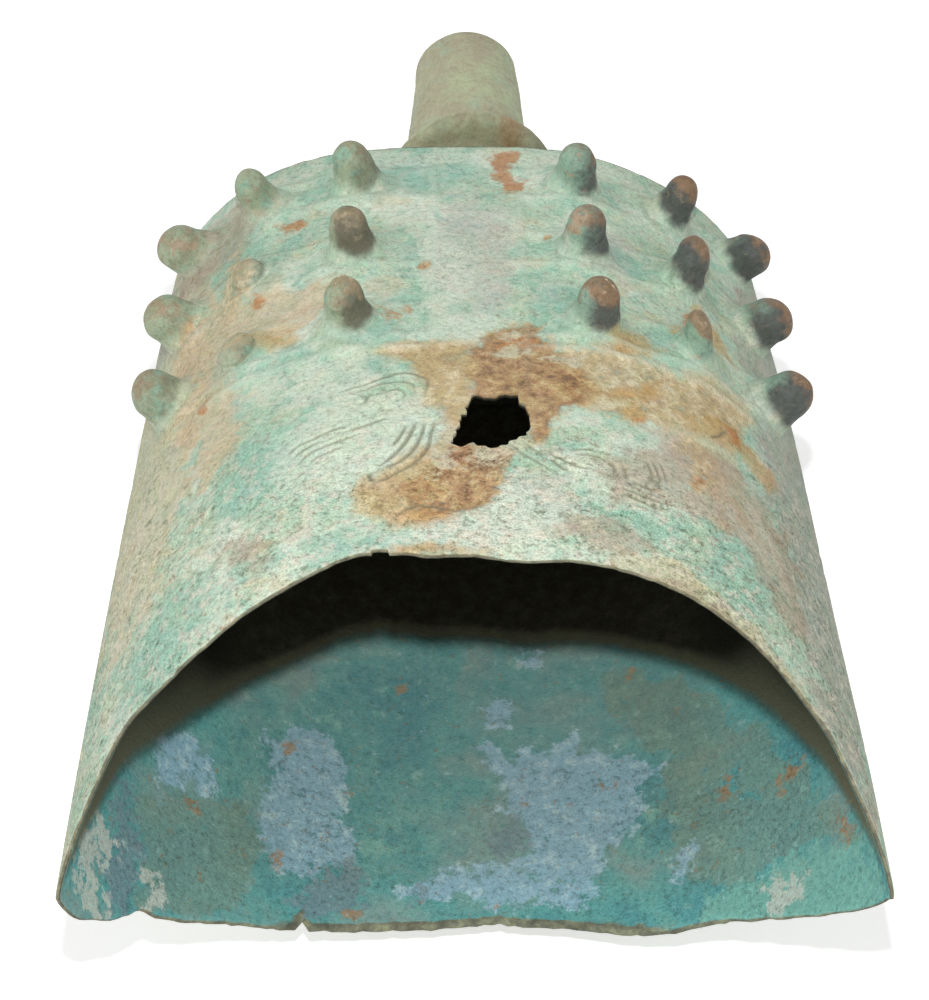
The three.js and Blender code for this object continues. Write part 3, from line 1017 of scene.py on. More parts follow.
def wall_grid():
    """Rings of the wall: outer skin from the crown to the rim, round the edge, and back inside."""
    across, face = section_columns()
    rim_x = across * half_width(MEAN_RIM_FALL)
    rim = np.where(face == 1, rim_fall(rim_x, 1), rim_fall(rim_x, -1))
    edge_wall = rim_wall(across, face)
    shoulder = rim - RIM_ROUNDING
    rings = [face_point(across, fall, face, proud) for fall, proud in TOP_CORNER]
    for share in np.linspace(0, 1, OUTER_ROWS):
        rings.append(face_point(across, TOP_FALL + (shoulder - TOP_FALL) * share, face, 0))
    for angle in RIM_ANGLES:
        proud = -edge_wall / 2 * (1 - math.cos(angle))
        rings.append(face_point(across, shoulder + RIM_ROUNDING * math.sin(angle), face, proud))
    for share in np.linspace(0, 1, INNER_ROWS) ** INNER_CROWDING:
        fall = shoulder + (CROWN_THICKNESS - CEILING_OVERLAP - shoulder) * share
        thin = hump(rim - fall, RIM_THINNING)
        rings.append(face_point(across, fall, face, -(WALL + (edge_wall - WALL) * thin)))
    return np.stack(rings)


def hole_cutter():
    """A prism through the front face, its outline broken into small teeth."""
    line = smooth_line([*HOLE_LINE, HOLE_LINE[0]], HOLE_STEP)[:-1]
    flat = np.column_stack([line, np.zeros(len(line))])
    outward = unit(line - np.array(HOLE_MIDDLE))
    line = line + HOLE_TEETH * layered_clouds(flat, TEETH_CLOUDS, 21)[:, None] * outward
    rings = []
    for height, growth in CUTTER_RINGS:
        grown = line + growth * outward
        rings.append(np.column_stack([grown[:, 0], -grown[:, 1], np.full(len(line), height)]))
    grid = np.stack(rings)
    points = grid.reshape(-1, 3)
    quads = ring_quads(len(rings), len(line), False)
    caps = [list(range(len(line))), list(range(len(points) - len(line), len(points)))]
    mesh = bpy.data.meshes.new("hole_cutter")
    mesh.from_pydata(points.tolist(), [], [*quads.tolist(), *caps])
    with opened(mesh) as shape:
        bmesh.ops.recalc_face_normals(shape, faces=shape.faces)
    return added("hole_cutter", mesh)


def cut_hole(mesh):
    """The wall with the cutter's prism taken out of it."""
    wall = added("wall_blank", mesh)
    cutter = hole_cutter()
    cut = wall.modifiers.new("hole", "BOOLEAN")
    cut.operation = "DIFFERENCE"
    cut.solver = "EXACT"
    cut.object = cutter
    depsgraph = bpy.context.evaluated_depsgraph_get()
    pierced = bpy.data.meshes.new_from_object(wall.evaluated_get(depsgraph))
    for blank in (wall, cutter):
        bpy.data.objects.remove(blank)
    pierced.name = "body_wall"
    return pierced


def refine(mesh):
    """Smaller faces along the carved strokes, where both ends of an edge lie close to one."""
    points = mesh_points(mesh)
    x, fall = points[:, 0], -points[:, 1]
    outer = proud_of(points) > SKIN_LIMIT
    close = np.zeros(len(points), bool)
    for _, stroke in STROKES:
        line = smooth_line(stroke, STROKE_STEP)
        middle_x, middle_fall = line.mean(0)
        beside = np.abs(x - middle_x) < SEARCH_REACH
        level = np.abs(fall - middle_fall) < SEARCH_REACH
        near = outer & (points[:, 2] > 0) & beside & level
        reach, _ = line_distance(x[near], fall[near], line)
        close[np.flatnonzero(near)[reach < FINE_REACH]] = True
    edges = np.empty(len(mesh.edges) * 2, int)
    mesh.edges.foreach_get("vertices", edges)
    chosen = close[edges.reshape(-1, 2)].all(1)
    with opened(mesh) as shape:
        shape.edges.ensure_lookup_table()
        fine = [shape.edges[number] for number in np.flatnonzero(chosen)]
        bmesh.ops.subdivide_edges(shape, edges=fine, cuts=FINE_CUTS, use_grid_fill=True)


# Zones of the front's outer skin, and of the rear wall's inside: a tuple is an ellipse as x, fall,
# half width, half height and turn in degrees, and a list is an outline of (x, fall) places

OUTER_ZONES = {
    "khaki": [
        (-92, 80, 16, 90, 0), (-93, 150, 10, 40, 0), (62, 132, 12, 22, -20),
        [(58, 105), (68, 100), (79, 99), (84, 107), (76, 123), (63, 127), (59, 120)],
        [(30, 190), (50, 190), (66, 197), (78, 206), (90, 218), (86, 224), (70, 213), (50, 206),
         (32, 200)],
    ],
    "orange_tint": [
        (-76, 92, 12, 36, -10), (-58, 76, 10, 8, 0), (-70, 128, 9, 16, 0), (60, 148, 8, 18, -20),
        [(-83, 57), (-67, 63), (-40, 75), (-40, 89), (-57, 92), (-77, 91)],
    ],
    "pink_brown": [
        [(33, 154), (47, 144), (68, 134), (84, 141), (88, 159), (90, 187), (84, 198), (77, 187),
         (71, 171), (59, 169), (48, 169), (35, 171)],
        [(42, 196), (57, 197), (72, 206), (83, 218), (79, 222), (66, 218), (54, 207), (41, 204)],
        [(-67, 175), (-54, 180), (-50, 189), (-59, 192), (-67, 184)],
        [(20, 178), (37, 176), (44, 185), (32, 191), (20, 188)],
        (-74, 26, 13, 18, 0),
    ],
    "grey": [
        (96, 120, 12, 120, 0), (87, 60, 7, 36, 0), (95, 212, 6, 20, -10), (-96, 30, 8, 20, 0),
        (-90, 46, 8, 14, 0), (-78, 30, 8, 7, 0),
    ],
    "lilac_grey": [
        (2, 62, 12, 32, 0), (38, 55, 12, 12, 0), (8, 178, 24, 14, 0), (54, 150, 8, 14, 0),
    ],
    "turquoise": [
        (-14, 14, 17, 14, 0), (-42, 20, 8, 7, 0), (30, 27, 5, 6, 0), (-25, 99, 9, 6, 0),
        (48, 58, 7, 5, 0), (-52, 104, 8, 5, 0), (-55, 150, 14, 16, 20),
        (28, 90, 10, 12, 0), (58, 96, 8, 9, 0), (-66, 40, 8, 12, 0), (-30, 188, 14, 5, 0),
        (40, 176, 14, 8, 0), (-80, 200, 12, 18, 20),
        [(59, 174), (73, 167), (80, 180), (74, 199), (63, 191)],
    ],
    "pale": [
        (8, 183, 22, 12, 0), (-28, 150, 26, 22, 0), (-8, 70, 8, 22, 0), (44, 158, 22, 16, 0),
        (2, 100, 9, 10, 0), (0, 8, 60, 5, 0), (4, 189, 26, 7, 0), (-40, 118, 17, 10, 0),
        (35, 42, 9, 8, 0), (34, 22, 7, 5, 0),
    ],
    "ochre": [
        (-58, 92, 8, 5, 0),
        [(56, 91), (62, 77), (67, 68), (72, 73), (76, 84), (70, 88), (66, 84), (61, 90)],
        [(58, 126), (66, 119), (74, 118), (81, 122), (87, 123), (84, 132), (79, 133), (72, 130),
         (65, 131), (58, 132)],
        [(46, 117), (51, 116), (49, 123), (46, 121)],
        [(28, 127), (45, 120), (46, 122), (32, 129)],
        [(40, 130), (46, 127), (43, 137), (40, 136)],
        [(38, 99), (48, 94), (53, 98), (47, 104), (39, 105)],
        [(-19, 178), (-9, 177), (-6, 181), (-14, 183)],
    ],
    "tan": [
        (-10, 193, 14, 2.5, 0),
        [(-21, 107), (0, 104), (0, 130), (-4, 148), (-9, 151), (-8, 138), (-11, 124), (-18, 114)],
        [(-31, 167), (-25, 159), (-14, 149), (-6, 147), (-9, 182), (-20, 184), (-30, 177)],
        [(-28, 108), (-20, 107), (-4, 107), (-6, 115), (-17, 114)],
    ],
    "mottled": [
        (61, 146, 4, 9, -18), (-68, 55, 4, 12, 0),
        [(23, 108), (41, 105), (53, 109), (64, 111), (67, 117), (59, 132), (45, 134), (34, 134),
         (23, 132)],
        [(58, 109), (68, 104), (78, 103), (82, 110), (75, 122), (63, 126), (59, 119)],
    ],
    "brown": [
        (-12, 66, 2, 2, 0), (25, 53, 2, 1.6, 0), (-84, 62, 2.4, 6, 0),
        [(-1, 106), (5, 101), (12, 97), (20, 98), (23, 105), (27, 114), (34, 126), (27, 133),
         (21, 138), (18.5, 147), (13, 148), (12, 133), (9, 131), (0, 131), (-1, 117)],
        [(-6, 150), (7, 152), (11, 155), (8, 164), (4, 174), (-1, 178), (-9, 182), (-16, 178),
         (-20, 169), (-14, 161)],
    ],
    "rust": [
        (64, 78, 2.4, 6, 0), (-62, 68, 2, 2.4, 0), (-74, 104, 2, 3, 0), (14, 105, 6, 3, 0),
        [(8, 3), (17, 3), (17, 11), (15, 16), (19, 25), (11, 28), (10, 15)],
        [(43, 133), (46, 131), (44, 138)],
        [(71, 119), (77, 119), (75, 125), (71, 125)],
        [(-55, 35), (-48, 35), (-48, 40), (-53, 41)],
        [(-18, 88), (-20, 95), (-24, 91), (-26, 88)],
        [(59, 152), (62, 150), (61, 154)],
    ],
    "crust": [
        (-9, 158, 3.4, 5.5, 0), (4, 157, 5, 4, 0), (24.5, 113, 4, 1.8, 15), (-6, 146, 2, 4, 0),
        (13, 108, 4.4, 2.2, 0), (12.5, 102, 3, 2.2, 0),
    ],
    "pitted": [
        (-60, 190, 50, 18, 10), (64, 182, 22, 22, 0), (-80, 215, 26, 20, 30), (84, 214, 26, 20, -30),
        (10, 184, 28, 12, 0), (90, 160, 20, 60, 0), (-88, 160, 16, 50, 0),
    ],
}
INNER_ZONES = {
    "lilac": [
        [(-63, 142), (-60, 145), (-54, 140), (-48, 136), (-42, 137), (-35, 145), (-37, 155),
         (-40, 164), (-37, 170), (-32, 172), (-34, 180), (-41, 184), (-49, 185), (-57, 185),
         (-63, 180), (-62, 171), (-63, 166), (-58, 159), (-59, 153), (-62, 149)],
        [(-90, 168), (-85, 161), (-80, 157), (-77, 159), (-74, 169), (-77, 173), (-81, 172),
         (-83, 178), (-88, 182), (-90, 178)],
        [(1, 134), (7, 135), (10, 142), (16, 137), (28, 138), (31, 134), (34, 140), (47, 145),
         (59, 153), (51, 157), (51, 168), (45, 174), (39, 176), (36, 187), (30, 188), (22, 184),
         (11, 178), (17, 171), (14, 163), (9, 161), (11, 151), (4, 142)],
        [(5, 120), (13, 120), (15, 126), (11, 130), (6, 128)],
        [(-20, 188), (-12, 183), (3, 179), (15, 180), (21, 184), (35, 187), (32, 195), (21, 192),
         (9, 192), (0, 187), (-11, 192)],
        [(61, 183), (67, 184), (65, 189), (64, 193), (61, 190)],
        [(18, 102), (24, 104), (23, 109), (20, 108)],
    ],
    "slate": [
        [(-101, 200), (-95, 184), (-94, 190), (-94, 206), (-92, 213), (-93, 225), (-98, 231),
         (-100, 218)],
        [(-49, 189), (-41, 185), (-34, 179), (-30, 185), (-30, 193), (-38, 197), (-49, 200),
         (-53, 196)],
        [(5, 169), (14, 165), (17, 169), (15, 173), (9, 177), (3, 176)],
        [(-14, 185), (-10, 186), (-11, 192), (-16, 192)],
    ],
    "whitened": [
        [(-104, 217), (-103, 206), (-100, 210), (-100, 218), (-99, 228), (-100, 234), (-104, 241),
         (-105, 235)],
        [(-92, 210), (-87, 206), (-86, 216), (-89, 221)],
        [(84, 206), (91, 213), (90, 219), (85, 215)],
    ],
    "bright": [
        [(-34, 171), (-28, 170), (-25, 176), (-31, 180)],
        [(-4, 187), (9, 185), (18, 187), (16, 191), (3, 191)],
        [(66, 201), (87, 204), (104, 218), (107, 238), (104, 240), (66, 207)],
        [(-45, 130), (-41, 129), (-40, 135), (-44, 134)],
        [(51, 167), (59, 169), (59, 173), (53, 172)],
    ],
    "olive": [
        [(44, 110), (65, 125), (80, 146), (93, 178), (90, 187), (78, 172), (66, 152), (52, 141),
         (41, 123)],
        [(-94, 191), (-67, 165), (-62, 183), (-66, 205), (-91, 221)],
        [(58, 150), (66, 152), (78, 172), (93, 180), (99, 196), (103, 216), (97, 212), (87, 202),
         (66, 198), (59, 185), (56, 170)],
    ],
    "browned": [
        [(69, 168), (76, 167), (76, 172)],
        [(88, 179), (94, 175), (94, 179), (90, 182)],
        [(100, 206), (101, 209), (101, 214), (100, 211)],
        [(-56, 145), (-53, 144), (-53, 146), (-55, 148)],
        [(41, 155), (44, 156), (44, 158), (41, 157)],
        [(-21, 117), (-18, 117), (-18, 119), (-20, 119)],
        [(47, 117), (51, 115), (51, 117)],
        [(-81, 180), (-79, 178), (-76, 178), (-79, 181)],
        [(-58, 182), (-56, 181), (-56, 184), (-58, 184)],
        [(14, 159), (16, 158), (16, 161), (14, 161)],
        [(-35, 196), (-32, 195), (-32, 197), (-35, 198)],
    ],
}
ZONE_SOFTNESS = 7
OUTLINE_SOFTNESS = 3.5
ZONE_WANDER = ((16, 2), (6, 1.6), (2.6, 0.8))
# Painted shade inside: the distance past the lamp's reach over which it grows to full
PAINTED_SHADE_REACH = 70
# The share of the way to the lamp where the search for the rim starts, and its number of steps
FIRST_SHARE = 0.2
DEPTH_STEPS = 6
FRONT_RIM_FALL = 195.0


def wandered(x, fall):
    """Places moved by clouds of several sizes, so that the zones lose their plain outlines."""
    flat = np.stack([x, fall, 0 * x], -1)
    return x + layered_clouds(flat, ZONE_WANDER, 81), fall + layered_clouds(flat, ZONE_WANDER, 91)


def outline_depth(x, fall, places):
    """Distance inside an outline, negative outside: an odd count of crossed edges is inside."""
    line = np.array([*places, places[0]], float)
    inside = np.zeros(x.shape, bool)
    for (x0, y0), (x1, y1) in zip(line[:-1], line[1:]):
        if y0 != y1:
            between = (fall < y0) != (fall < y1)
            inside ^= between & (x < x0 + (fall - y0) * (x1 - x0) / (y1 - y0))
    reach, _ = line_distance(x, fall, line)
    return np.where(inside, reach, -reach)


def zone(x, fall, spots):
    """0.5 on the outline of the nearest spot, rising to 1 inside and falling to 0 outside."""
    best = np.zeros(x.shape)
    for spot in spots:
        if isinstance(spot, list):
            depth = outline_depth(x, fall, spot) / OUTLINE_SOFTNESS
        else:
            across, down, wide, high, turn = spot
            cosine, sine = math.cos(math.radians(turn)), math.sin(math.radians(turn))
            u = ((x - across) * cosine + (fall - down) * sine) / wide
            v = ((fall - down) * cosine - (x - across) * sine) / high
            size = min(wide, high)
            depth = (1 - np.hypot(u, v)) * size / min(size, ZONE_SOFTNESS)
        best = np.maximum(best, 0.5 + 0.5 * depth)
    return np.clip(best, 0, 1)


REAR_STRENGTH = 0.8
REAR_SHIFT = 7
REAR_STRETCH = 0.9


def mark_zones(mesh, x, fall, face):
    """Marks of the outer zones: past the ribs the rear face repeats them mirrored and weaker."""
    rearwards = np.where(face == 1, 0, fade(np.abs(x) / half_width(fall), 1, 0.82))
    zone_x, zone_fall = wandered(x, fall)
    for name, spots in OUTER_ZONES.items():
        seen = zone(zone_x, zone_fall, spots)
        hidden = REAR_STRENGTH * zone(REAR_SHIFT - REAR_STRETCH * zone_x, zone_fall, spots)
        set_marks(mesh, **{name: seen + (hidden - seen) * rearwards})


def painted_shade_depth(points):
    """How far a place of the inside lies beyond the reach of the lamp over the front rim, 0 to 1: the
    measure of the painted shade there.
    """
    share = np.full(len(points), FIRST_SHARE)
    for _ in range(DEPTH_STEPS):
        crossing = points + share[:, None] * (KEY_PLACE - points)
        across = np.clip(crossing[:, 0] / half_width(FRONT_RIM_FALL), -1, 1)
        front = section_share(across) * half_depth(FRONT_RIM_FALL)
        share = (front - points[:, 2]) / (KEY_PLACE[2] - points[:, 2])
    depth = (rim_fall(crossing[:, 0], 1) + crossing[:, 1]) / PAINTED_SHADE_REACH
    # The painted shade darkens sooner in the middle of the face than near the ribs
    steeper = 1 + 4 * fade(np.abs(across), 0.7, 0.4) * fade(depth, 0, 0.15)
    return np.clip(depth * steeper, 0, 1)


SKIN_CLOUDS = ((13, 0.22), (5, 0.16), (2.6, 0.1))
INSIDE_CLOUDS = ((17, 0.3), (5, 0.15))
SKIN_LOSS = 0.25
HOLE_MARGIN = 9
PIT_SIZE = 3.2
RIDGE_WEAR_SIZE = 9
# Where the skin is weathered: falls, and shares across with the falls of the sides
WEATHERED_FALLS = (115, 185)
WEATHERED_SIDES = (0.72, 0.95)
WEATHERED_SIDE_FALLS = (90, 150)
# Proud of the skin, between which the outer patina gives way to the inner one
PATINA_CHANGE = (-0.9, -1.5)


def outer_relief(points, across, face, groove, lip, ridge, skirt):
    """Height of all that stands out of the outer skin or is cut into it, in millimetres."""
    x, fall = points[:, 0], -points[:, 1]
    raised = RIDGE_HEIGHT * ridge + SKIRT_HEIGHT * skirt + LIP_HEIGHT * lip - GROOVE_DEPTH * groove
    rough = layered_clouds(points, SKIN_CLOUDS, 1)
    calm = fade(np.abs(across), 0.995, 0.9)
    pitted = zone(x, fall, OUTER_ZONES["pitted"])
    pits = fade(clouds(points, PIT_SIZE, 4), 0.35, 0.75) * (0.25 + 0.5 * pitted)
    return (raised + rough) * calm - SKIN_LOSS - pits


def edge_mark(x, fall, across, face, proud, near_hole):
    """1 in the middle of the rim's edge, and on the olive band inside the middle of the rear rim,
    partly painted shade.
    """
    half_edge = rim_wall(across, face) / 2
    edge = np.clip(1 - np.abs(proud + half_edge) / half_edge, 0, 1)
    edge *= np.where(face == 1, fade(near_hole, 4, 8), 1)
    # An olive band inside the rear rim's middle, partly the rim's edge and partly painted shade
    rear_band = fade(rim_fall(x, -1) - fall, REAR_RIM_BAND + 0.5, REAR_RIM_BAND - 0.3) * fade(proud, -0.5, -1)
    rear_band *= np.where(face == -1, fade(np.abs(x), *REAR_RIM_BAND_ENDS), 0)
    return np.maximum(edge, rear_band)


def shape_wall(mesh):
    """Moves the wall's points by the relief and keeps the marks that its finish reads."""
    points = mesh_points(mesh)
    x, fall = points[:, 0].copy(), -points[:, 1]
    face = np.where(points[:, 2] >= 0, 1, -1)
    proud = proud_of(points)
    across = x / (half_width(fall) + proud)
    skin = np.clip(1 + proud / RIM_WALL, 0, 1)
    near_hole = np.hypot(x - HOLE_MIDDLE[0], fall - HOLE_MIDDLE[1]) - HOLE_MARGIN
    thin = np.where(face == 1, hump(np.maximum(near_hole, 0), HOLE_THINNING), 0)
    proud = np.where(proud < -RIM_WALL, proud * (1 + (HOLE_WALL / WALL - 1) * thin), proud)
    groove, lip = stroke_depth(face * x, fall)
    ridge_wear = fade(clouds(points, RIDGE_WEAR_SIZE, 31), -0.5, 0.3)
    ridge = ridge_height(x, fall) * (0.45 + 0.55 * ridge_wear)
    skirt = skirt_height(points, face)
    relief = outer_relief(points, across, face, groove, lip, ridge, skirt)
    inside = layered_clouds(points, INSIDE_CLOUDS, 5) * fade(-proud, 1.7, 2.7)
    shift = np.where(proud > -RIM_WALL, relief * skin, inside)
    outwards = face_normal(np.clip(across, -0.985, 0.985), fall, face)
    set_points(mesh, face_point(across, fall, face, proud) + shift[:, None] * outwards)
    mark_zones(mesh, x, fall, face)
    for name, spots in INNER_ZONES.items():
        set_marks(mesh, **{name: np.where(face == 1, 0, zone(*wandered(x, fall), spots))})
    edge = edge_mark(x, fall, across, face, proud, near_hole)
    sides = fade(np.abs(across), *WEATHERED_SIDES) * fade(fall, *WEATHERED_SIDE_FALLS)
    weathered = np.maximum(fade(fall, *WEATHERED_FALLS), sides)
    # The depth mark is painted shade: how far the inside lies past the lamp's reach over the front
    # rim
    set_marks(mesh, depth=painted_shade_depth(points), hollow=groove, crest=np.maximum(ridge, 0.6 * lip),
              interior=fade(proud, *PATINA_CHANGE), edge=edge, foot=0.8 * skirt, weathered=weathered)


def body_wall():
    """The wall's rings, pierced by the hole, refined along the strokes and worn."""
    mesh = cut_hole(grid_mesh("wall_blank", wall_grid(), True))
    refine(mesh)
    shape_wall(mesh)
    return finished(mesh, WALL_FINISH, "bronze_patina", "body_wall")


# Crown plate

PLATE_INSET = 1.2
PLATE_COLUMNS = 260
PLATE_ROWS = 40
PLATE_TOP = -0.35
PLATE_CLOUDS = ((11, 0.2), (4, 0.12))
CEILING_CLOUDS = ((9, 0.2),)


def plain_marks(mesh, interior):
    """The wall's marks for a piece without zones, from 0 for the outer patina to 1 for the inner,
    with the inner side in full painted shade.
    """
    zones = dict.fromkeys((*OUTER_ZONES, *INNER_ZONES), 0)
    set_marks(mesh, **zones, hollow=0, crest=0, edge=0, foot=0, weathered=0, interior=interior,
              depth=interior)


def crown_plate():
    """Rings between the clay's round hole and the almond outline, over the top and back below."""
    front = section_angles(1, PLATE_COLUMNS // 2)
    across = np.concatenate([np.cos(front), -np.cos(front)])
    face = np.repeat([1, -1], len(front))
    outline = face_point(across, 0 * across, face, -PLATE_INSET)
    polar = np.arctan2(outline[:, 2], outline[:, 0])
    bore = SHANK_FOOT_RADIUS - SHANK_WALL
    hole = np.column_stack([bore * np.cos(polar), 0 * polar, bore * np.sin(polar)])
    rings = []
    for share in np.linspace(0, 1, PLATE_ROWS):
        ring = hole + (outline - hole) * share
        ring[:, 1] = PLATE_TOP + layered_clouds(ring, PLATE_CLOUDS, 41)
        rings.append(ring)
    for share in np.linspace(1, 0, PLATE_ROWS // 2):
        ring = hole + (outline - hole) * share
        ring[:, 1] = -CROWN_THICKNESS + layered_clouds(ring, CEILING_CLOUDS, 43)
        rings.append(ring)
    mesh = grid_mesh("crown_plate", np.stack(rings), True)
    plain_marks(mesh, fade(-mesh_points(mesh)[:, 1], 1.2, 2))
    return finished(mesh, WALL_FINISH, "bronze_patina", "crown_plate")


# Turned pieces: the shank and its ring

ROUND_STEPS = 140
SHANK_SWELL = 0.7
SHANK_EDGE = 1.6
SHANK_WEAR = ((16, 0.5), (6, 0.25), (2.5, 0.12))
RING_SINK = 1.6
RING_CLOUDS = ((12, 0.7), (4, 0.35), (2, 0.15))
# How much less the ring stands out on its worn left side
RING_WEAR = 0.45
LOOP_SINK = 3
LOOP_WEAR = ((5, 0.06), (2, 0.03))


def turned_rings(profile):
    """Rings round the bell's axis from a profile of radius and height."""
    angles = np.linspace(0, 2 * math.pi, ROUND_STEPS, endpoint=False)
    radius, height = np.asarray(profile, float).T
    x = radius[:, None] * np.cos(angles)
    z = radius[:, None] * np.sin(angles)
    y = np.broadcast_to(height[:, None], x.shape)
    return np.stack([x, y, z], -1)


def roughened(points, layers, seed):
    """Points drawn in towards the axis by wear of several sizes."""
    radius = np.hypot(points[..., 0], points[..., 2])
    share = np.where(radius > 1, 1 - wear(points, layers, seed) / np.maximum(radius, 1), 1)
    return points * np.stack([share, np.ones_like(share), share], -1)


def shank_radius(height):
    """Radius of the taper at a height over the crown."""
    taper = (SHANK_END_RADIUS - SHANK_FOOT_RADIUS) * height / SHANK_LENGTH
    return SHANK_FOOT_RADIUS + taper + SHANK_SWELL


def shank():
    """Outer taper with a rounded end edge, and the bore that holds the clay."""
    bore_end = SHANK_LENGTH - SHANK_END_THICKNESS
    corner = [(SHANK_END_RADIUS - SHANK_EDGE * (1 - math.cos(a)),
               SHANK_LENGTH - SHANK_EDGE * (1 - math.sin(a))) for a in np.linspace(0, math.pi / 2, 7)]
    side = [(shank_radius(h), h) for h in np.linspace(-1, SHANK_LENGTH - SHANK_EDGE - 1, 110)]
    end = [(r, SHANK_LENGTH) for r in np.linspace(SHANK_END_RADIUS - SHANK_EDGE - 1, 0, 12)]
    bore = [(r, bore_end) for r in (0, 6, shank_radius(bore_end) - SHANK_WALL)]
    bore += [(shank_radius(h) - SHANK_WALL, h) for h in np.linspace(bore_end - 4, -1, 12)]
    rings = turned_rings([*bore, *side, *corner, *end])
    outer = len(bore)
    rings[outer:] = roughened(rings[outer:], SHANK_WEAR, 51)
    mesh = grid_mesh("shank", rings, False)
    points = mesh_points(mesh)
    height = points[:, 1]
    # Painted shade: darker below the ring, fading just past it, and on the right side
    painted_shade_past_ring = 0.35 * fade(height, RING_HEIGHT + 10, RING_HEIGHT)
    painted_shade_by_ring = np.where(height > RING_HEIGHT, painted_shade_past_ring, 0.75)
    painted_shade_right_side = 0.35 * fade(points[:, 0], -4, 18)
    set_marks(mesh, root=fade(height, 10, 0), dark=np.maximum(painted_shade_by_ring, painted_shade_right_side), rusty=0)
    return finished(mesh, SHANK_FINISH, "bronze_olive", "shank")


def shank_ring():
    """A squared half ellipse carried round the shank, its foot sunk into the taper."""
    foot = shank_radius(RING_HEIGHT)
    profile = []
    for angle in np.linspace(-math.pi / 2, math.pi / 2, 34):
        reach = RING_REACH * math.sqrt(max(math.cos(angle), 0))
        profile.append((foot + reach, RING_HEIGHT + RING_WIDTH / 2 * math.sin(angle)))
    for share in (0.0, 0.5, 1.0):
        profile.append((foot - RING_SINK, RING_HEIGHT + RING_WIDTH * (0.5 - share)))
    rings = turned_rings(profile)
    radius = np.hypot(rings[..., 0], rings[..., 2])
    reach = np.maximum(radius - foot, 0)
    leftness = fade(rings[..., 0], 5, -24)
    worn = 1 - RING_WEAR * leftness * reach / radius
    rings = rings * np.stack([worn, np.ones_like(worn), worn], -1)
    rings = roughened(rings, RING_CLOUDS, 61)
    mesh = grid_mesh("shank_ring", rings, True)
    points = mesh_points(mesh)
    # Painted shade on the ring's face towards the mouth and on its right end
    painted_shade_mouth_face = fade(points[:, 1], RING_HEIGHT + 2, RING_HEIGHT - 1)
    painted_shade_ring_end = 1.6 * fade(points[:, 0], 19, 27)
    rusty = fade(points[:, 0], 7, 13) * fade(points[:, 0], 21, 15)
    set_marks(mesh, root=0, dark=np.maximum(0.6 * painted_shade_mouth_face, painted_shade_ring_end),
              rusty=0.8 * rusty * fade(points[:, 2], 8, 16))
    return finished(mesh, SHANK_FINISH, "bronze_olive", "shank_ring")


def suspension_loop():
    """A round bar carried along an arch beside the ring, with both feet sunk into the shank."""
    base = shank_radius(RING_HEIGHT) - LOOP_SINK
    top = shank_radius(RING_HEIGHT) + RING_REACH + LOOP_EYE + LOOP_BAR / 2
    angle = np.linspace(0, math.pi, 72)
    arch = (LOOP_SPAN - LOOP_BAR) / 2
    rise = np.sqrt(np.maximum(np.sin(angle), 0))
    depth = base + (top - base) * rise
    path = np.column_stack([0 * angle, RING_HEIGHT + arch * np.cos(angle), -depth])
    sideways = np.array([1.0, 0, 0])
    upwards = np.cross(unit(np.gradient(path, axis=0)), sideways)
    turn = np.linspace(0, 2 * math.pi, 36, endpoint=False)
    radius = LOOP_BAR / 2 - 0.15
    rings = (path[:, None] + radius * np.cos(turn)[None, :, None] * sideways
             + radius * np.sin(turn)[None, :, None] * upwards[:, None])
    middle = rings.mean(1, keepdims=True)
    rings = middle + (rings - middle) * (1 - wear(rings, LOOP_WEAR, 71))[..., None]
    start = np.broadcast_to(middle[:1], rings[:1].shape)
    stop = np.broadcast_to(middle[-1:], rings[:1].shape)
    mesh = grid_mesh("suspension_loop", np.concatenate([start, rings, stop]), False)
    set_marks(mesh, root=0.3, dark=0.3, rusty=0.3)
    return finished(mesh, SHANK_FINISH, "bronze_olive", "suspension_loop")


# Bosses

BOSS_COLUMNS = 52
FLARE_ROWS = 18
HEAD_ROWS = 18
BOSS_SINK = -1.2
BOSS_UNDERSIDE = -2.4
BOSS_CLOUDS = ((7, 0.45), (3, 0.2), (1.6, 0.08))
BOSS_LOSS = 0.35
# How many steps a foot takes to the wall, and how far down and up it may follow it
FOOT_STEPS = 5
FOOT_TRAVEL = (-9, 1)
FIRST_BOSS_SEED = 100
BOSS_SEED_STEP = 7
# Bosses lower than this share are worn away, and take some of the wall's patina all over
WORN_HEIGHT = 0.6
WORN_ROOT = 0.45


def boss_profile(height_share, head_share):
    """Radius and height: a hollow-sided flare that leaves the wall, then a long round head."""
    centre = BOSS_HEIGHT - BOSS_HEAD_LENGTH
    head_radius = BOSS_HEAD_RADIUS * head_share
    rise = np.linspace(0, 1, FLARE_ROWS, endpoint=False)
    flare_bend = 0.5 + 1.4 * min(head_share, 1)
    flare_radius = head_radius + (BOSS_ROOT_RADIUS - head_radius) * (1 - rise) ** flare_bend
    flare_height = BOSS_SINK + (centre - BOSS_SINK) * rise
    head = np.linspace(0, math.pi / 2, HEAD_ROWS)
    radius = np.concatenate([[0, 5], flare_radius, head_radius * np.cos(head)])
    head_height = centre + BOSS_HEAD_LENGTH * np.sin(head)
    height = np.concatenate([[BOSS_UNDERSIDE, BOSS_UNDERSIDE], flare_height, head_height])
    radius[-1] = 0
    return radius, np.where(height > 0, height * height_share, height)


def own_values(name, table, plain):
    """A front boss's own line of a table, found by its side, column and row; plain for the rear."""
    _, face_name, side_name, row_name, column = name.split("_")
    if face_name == "rear":
        return plain
    return table[side_name, column][int(row_name[1:]) - 1]


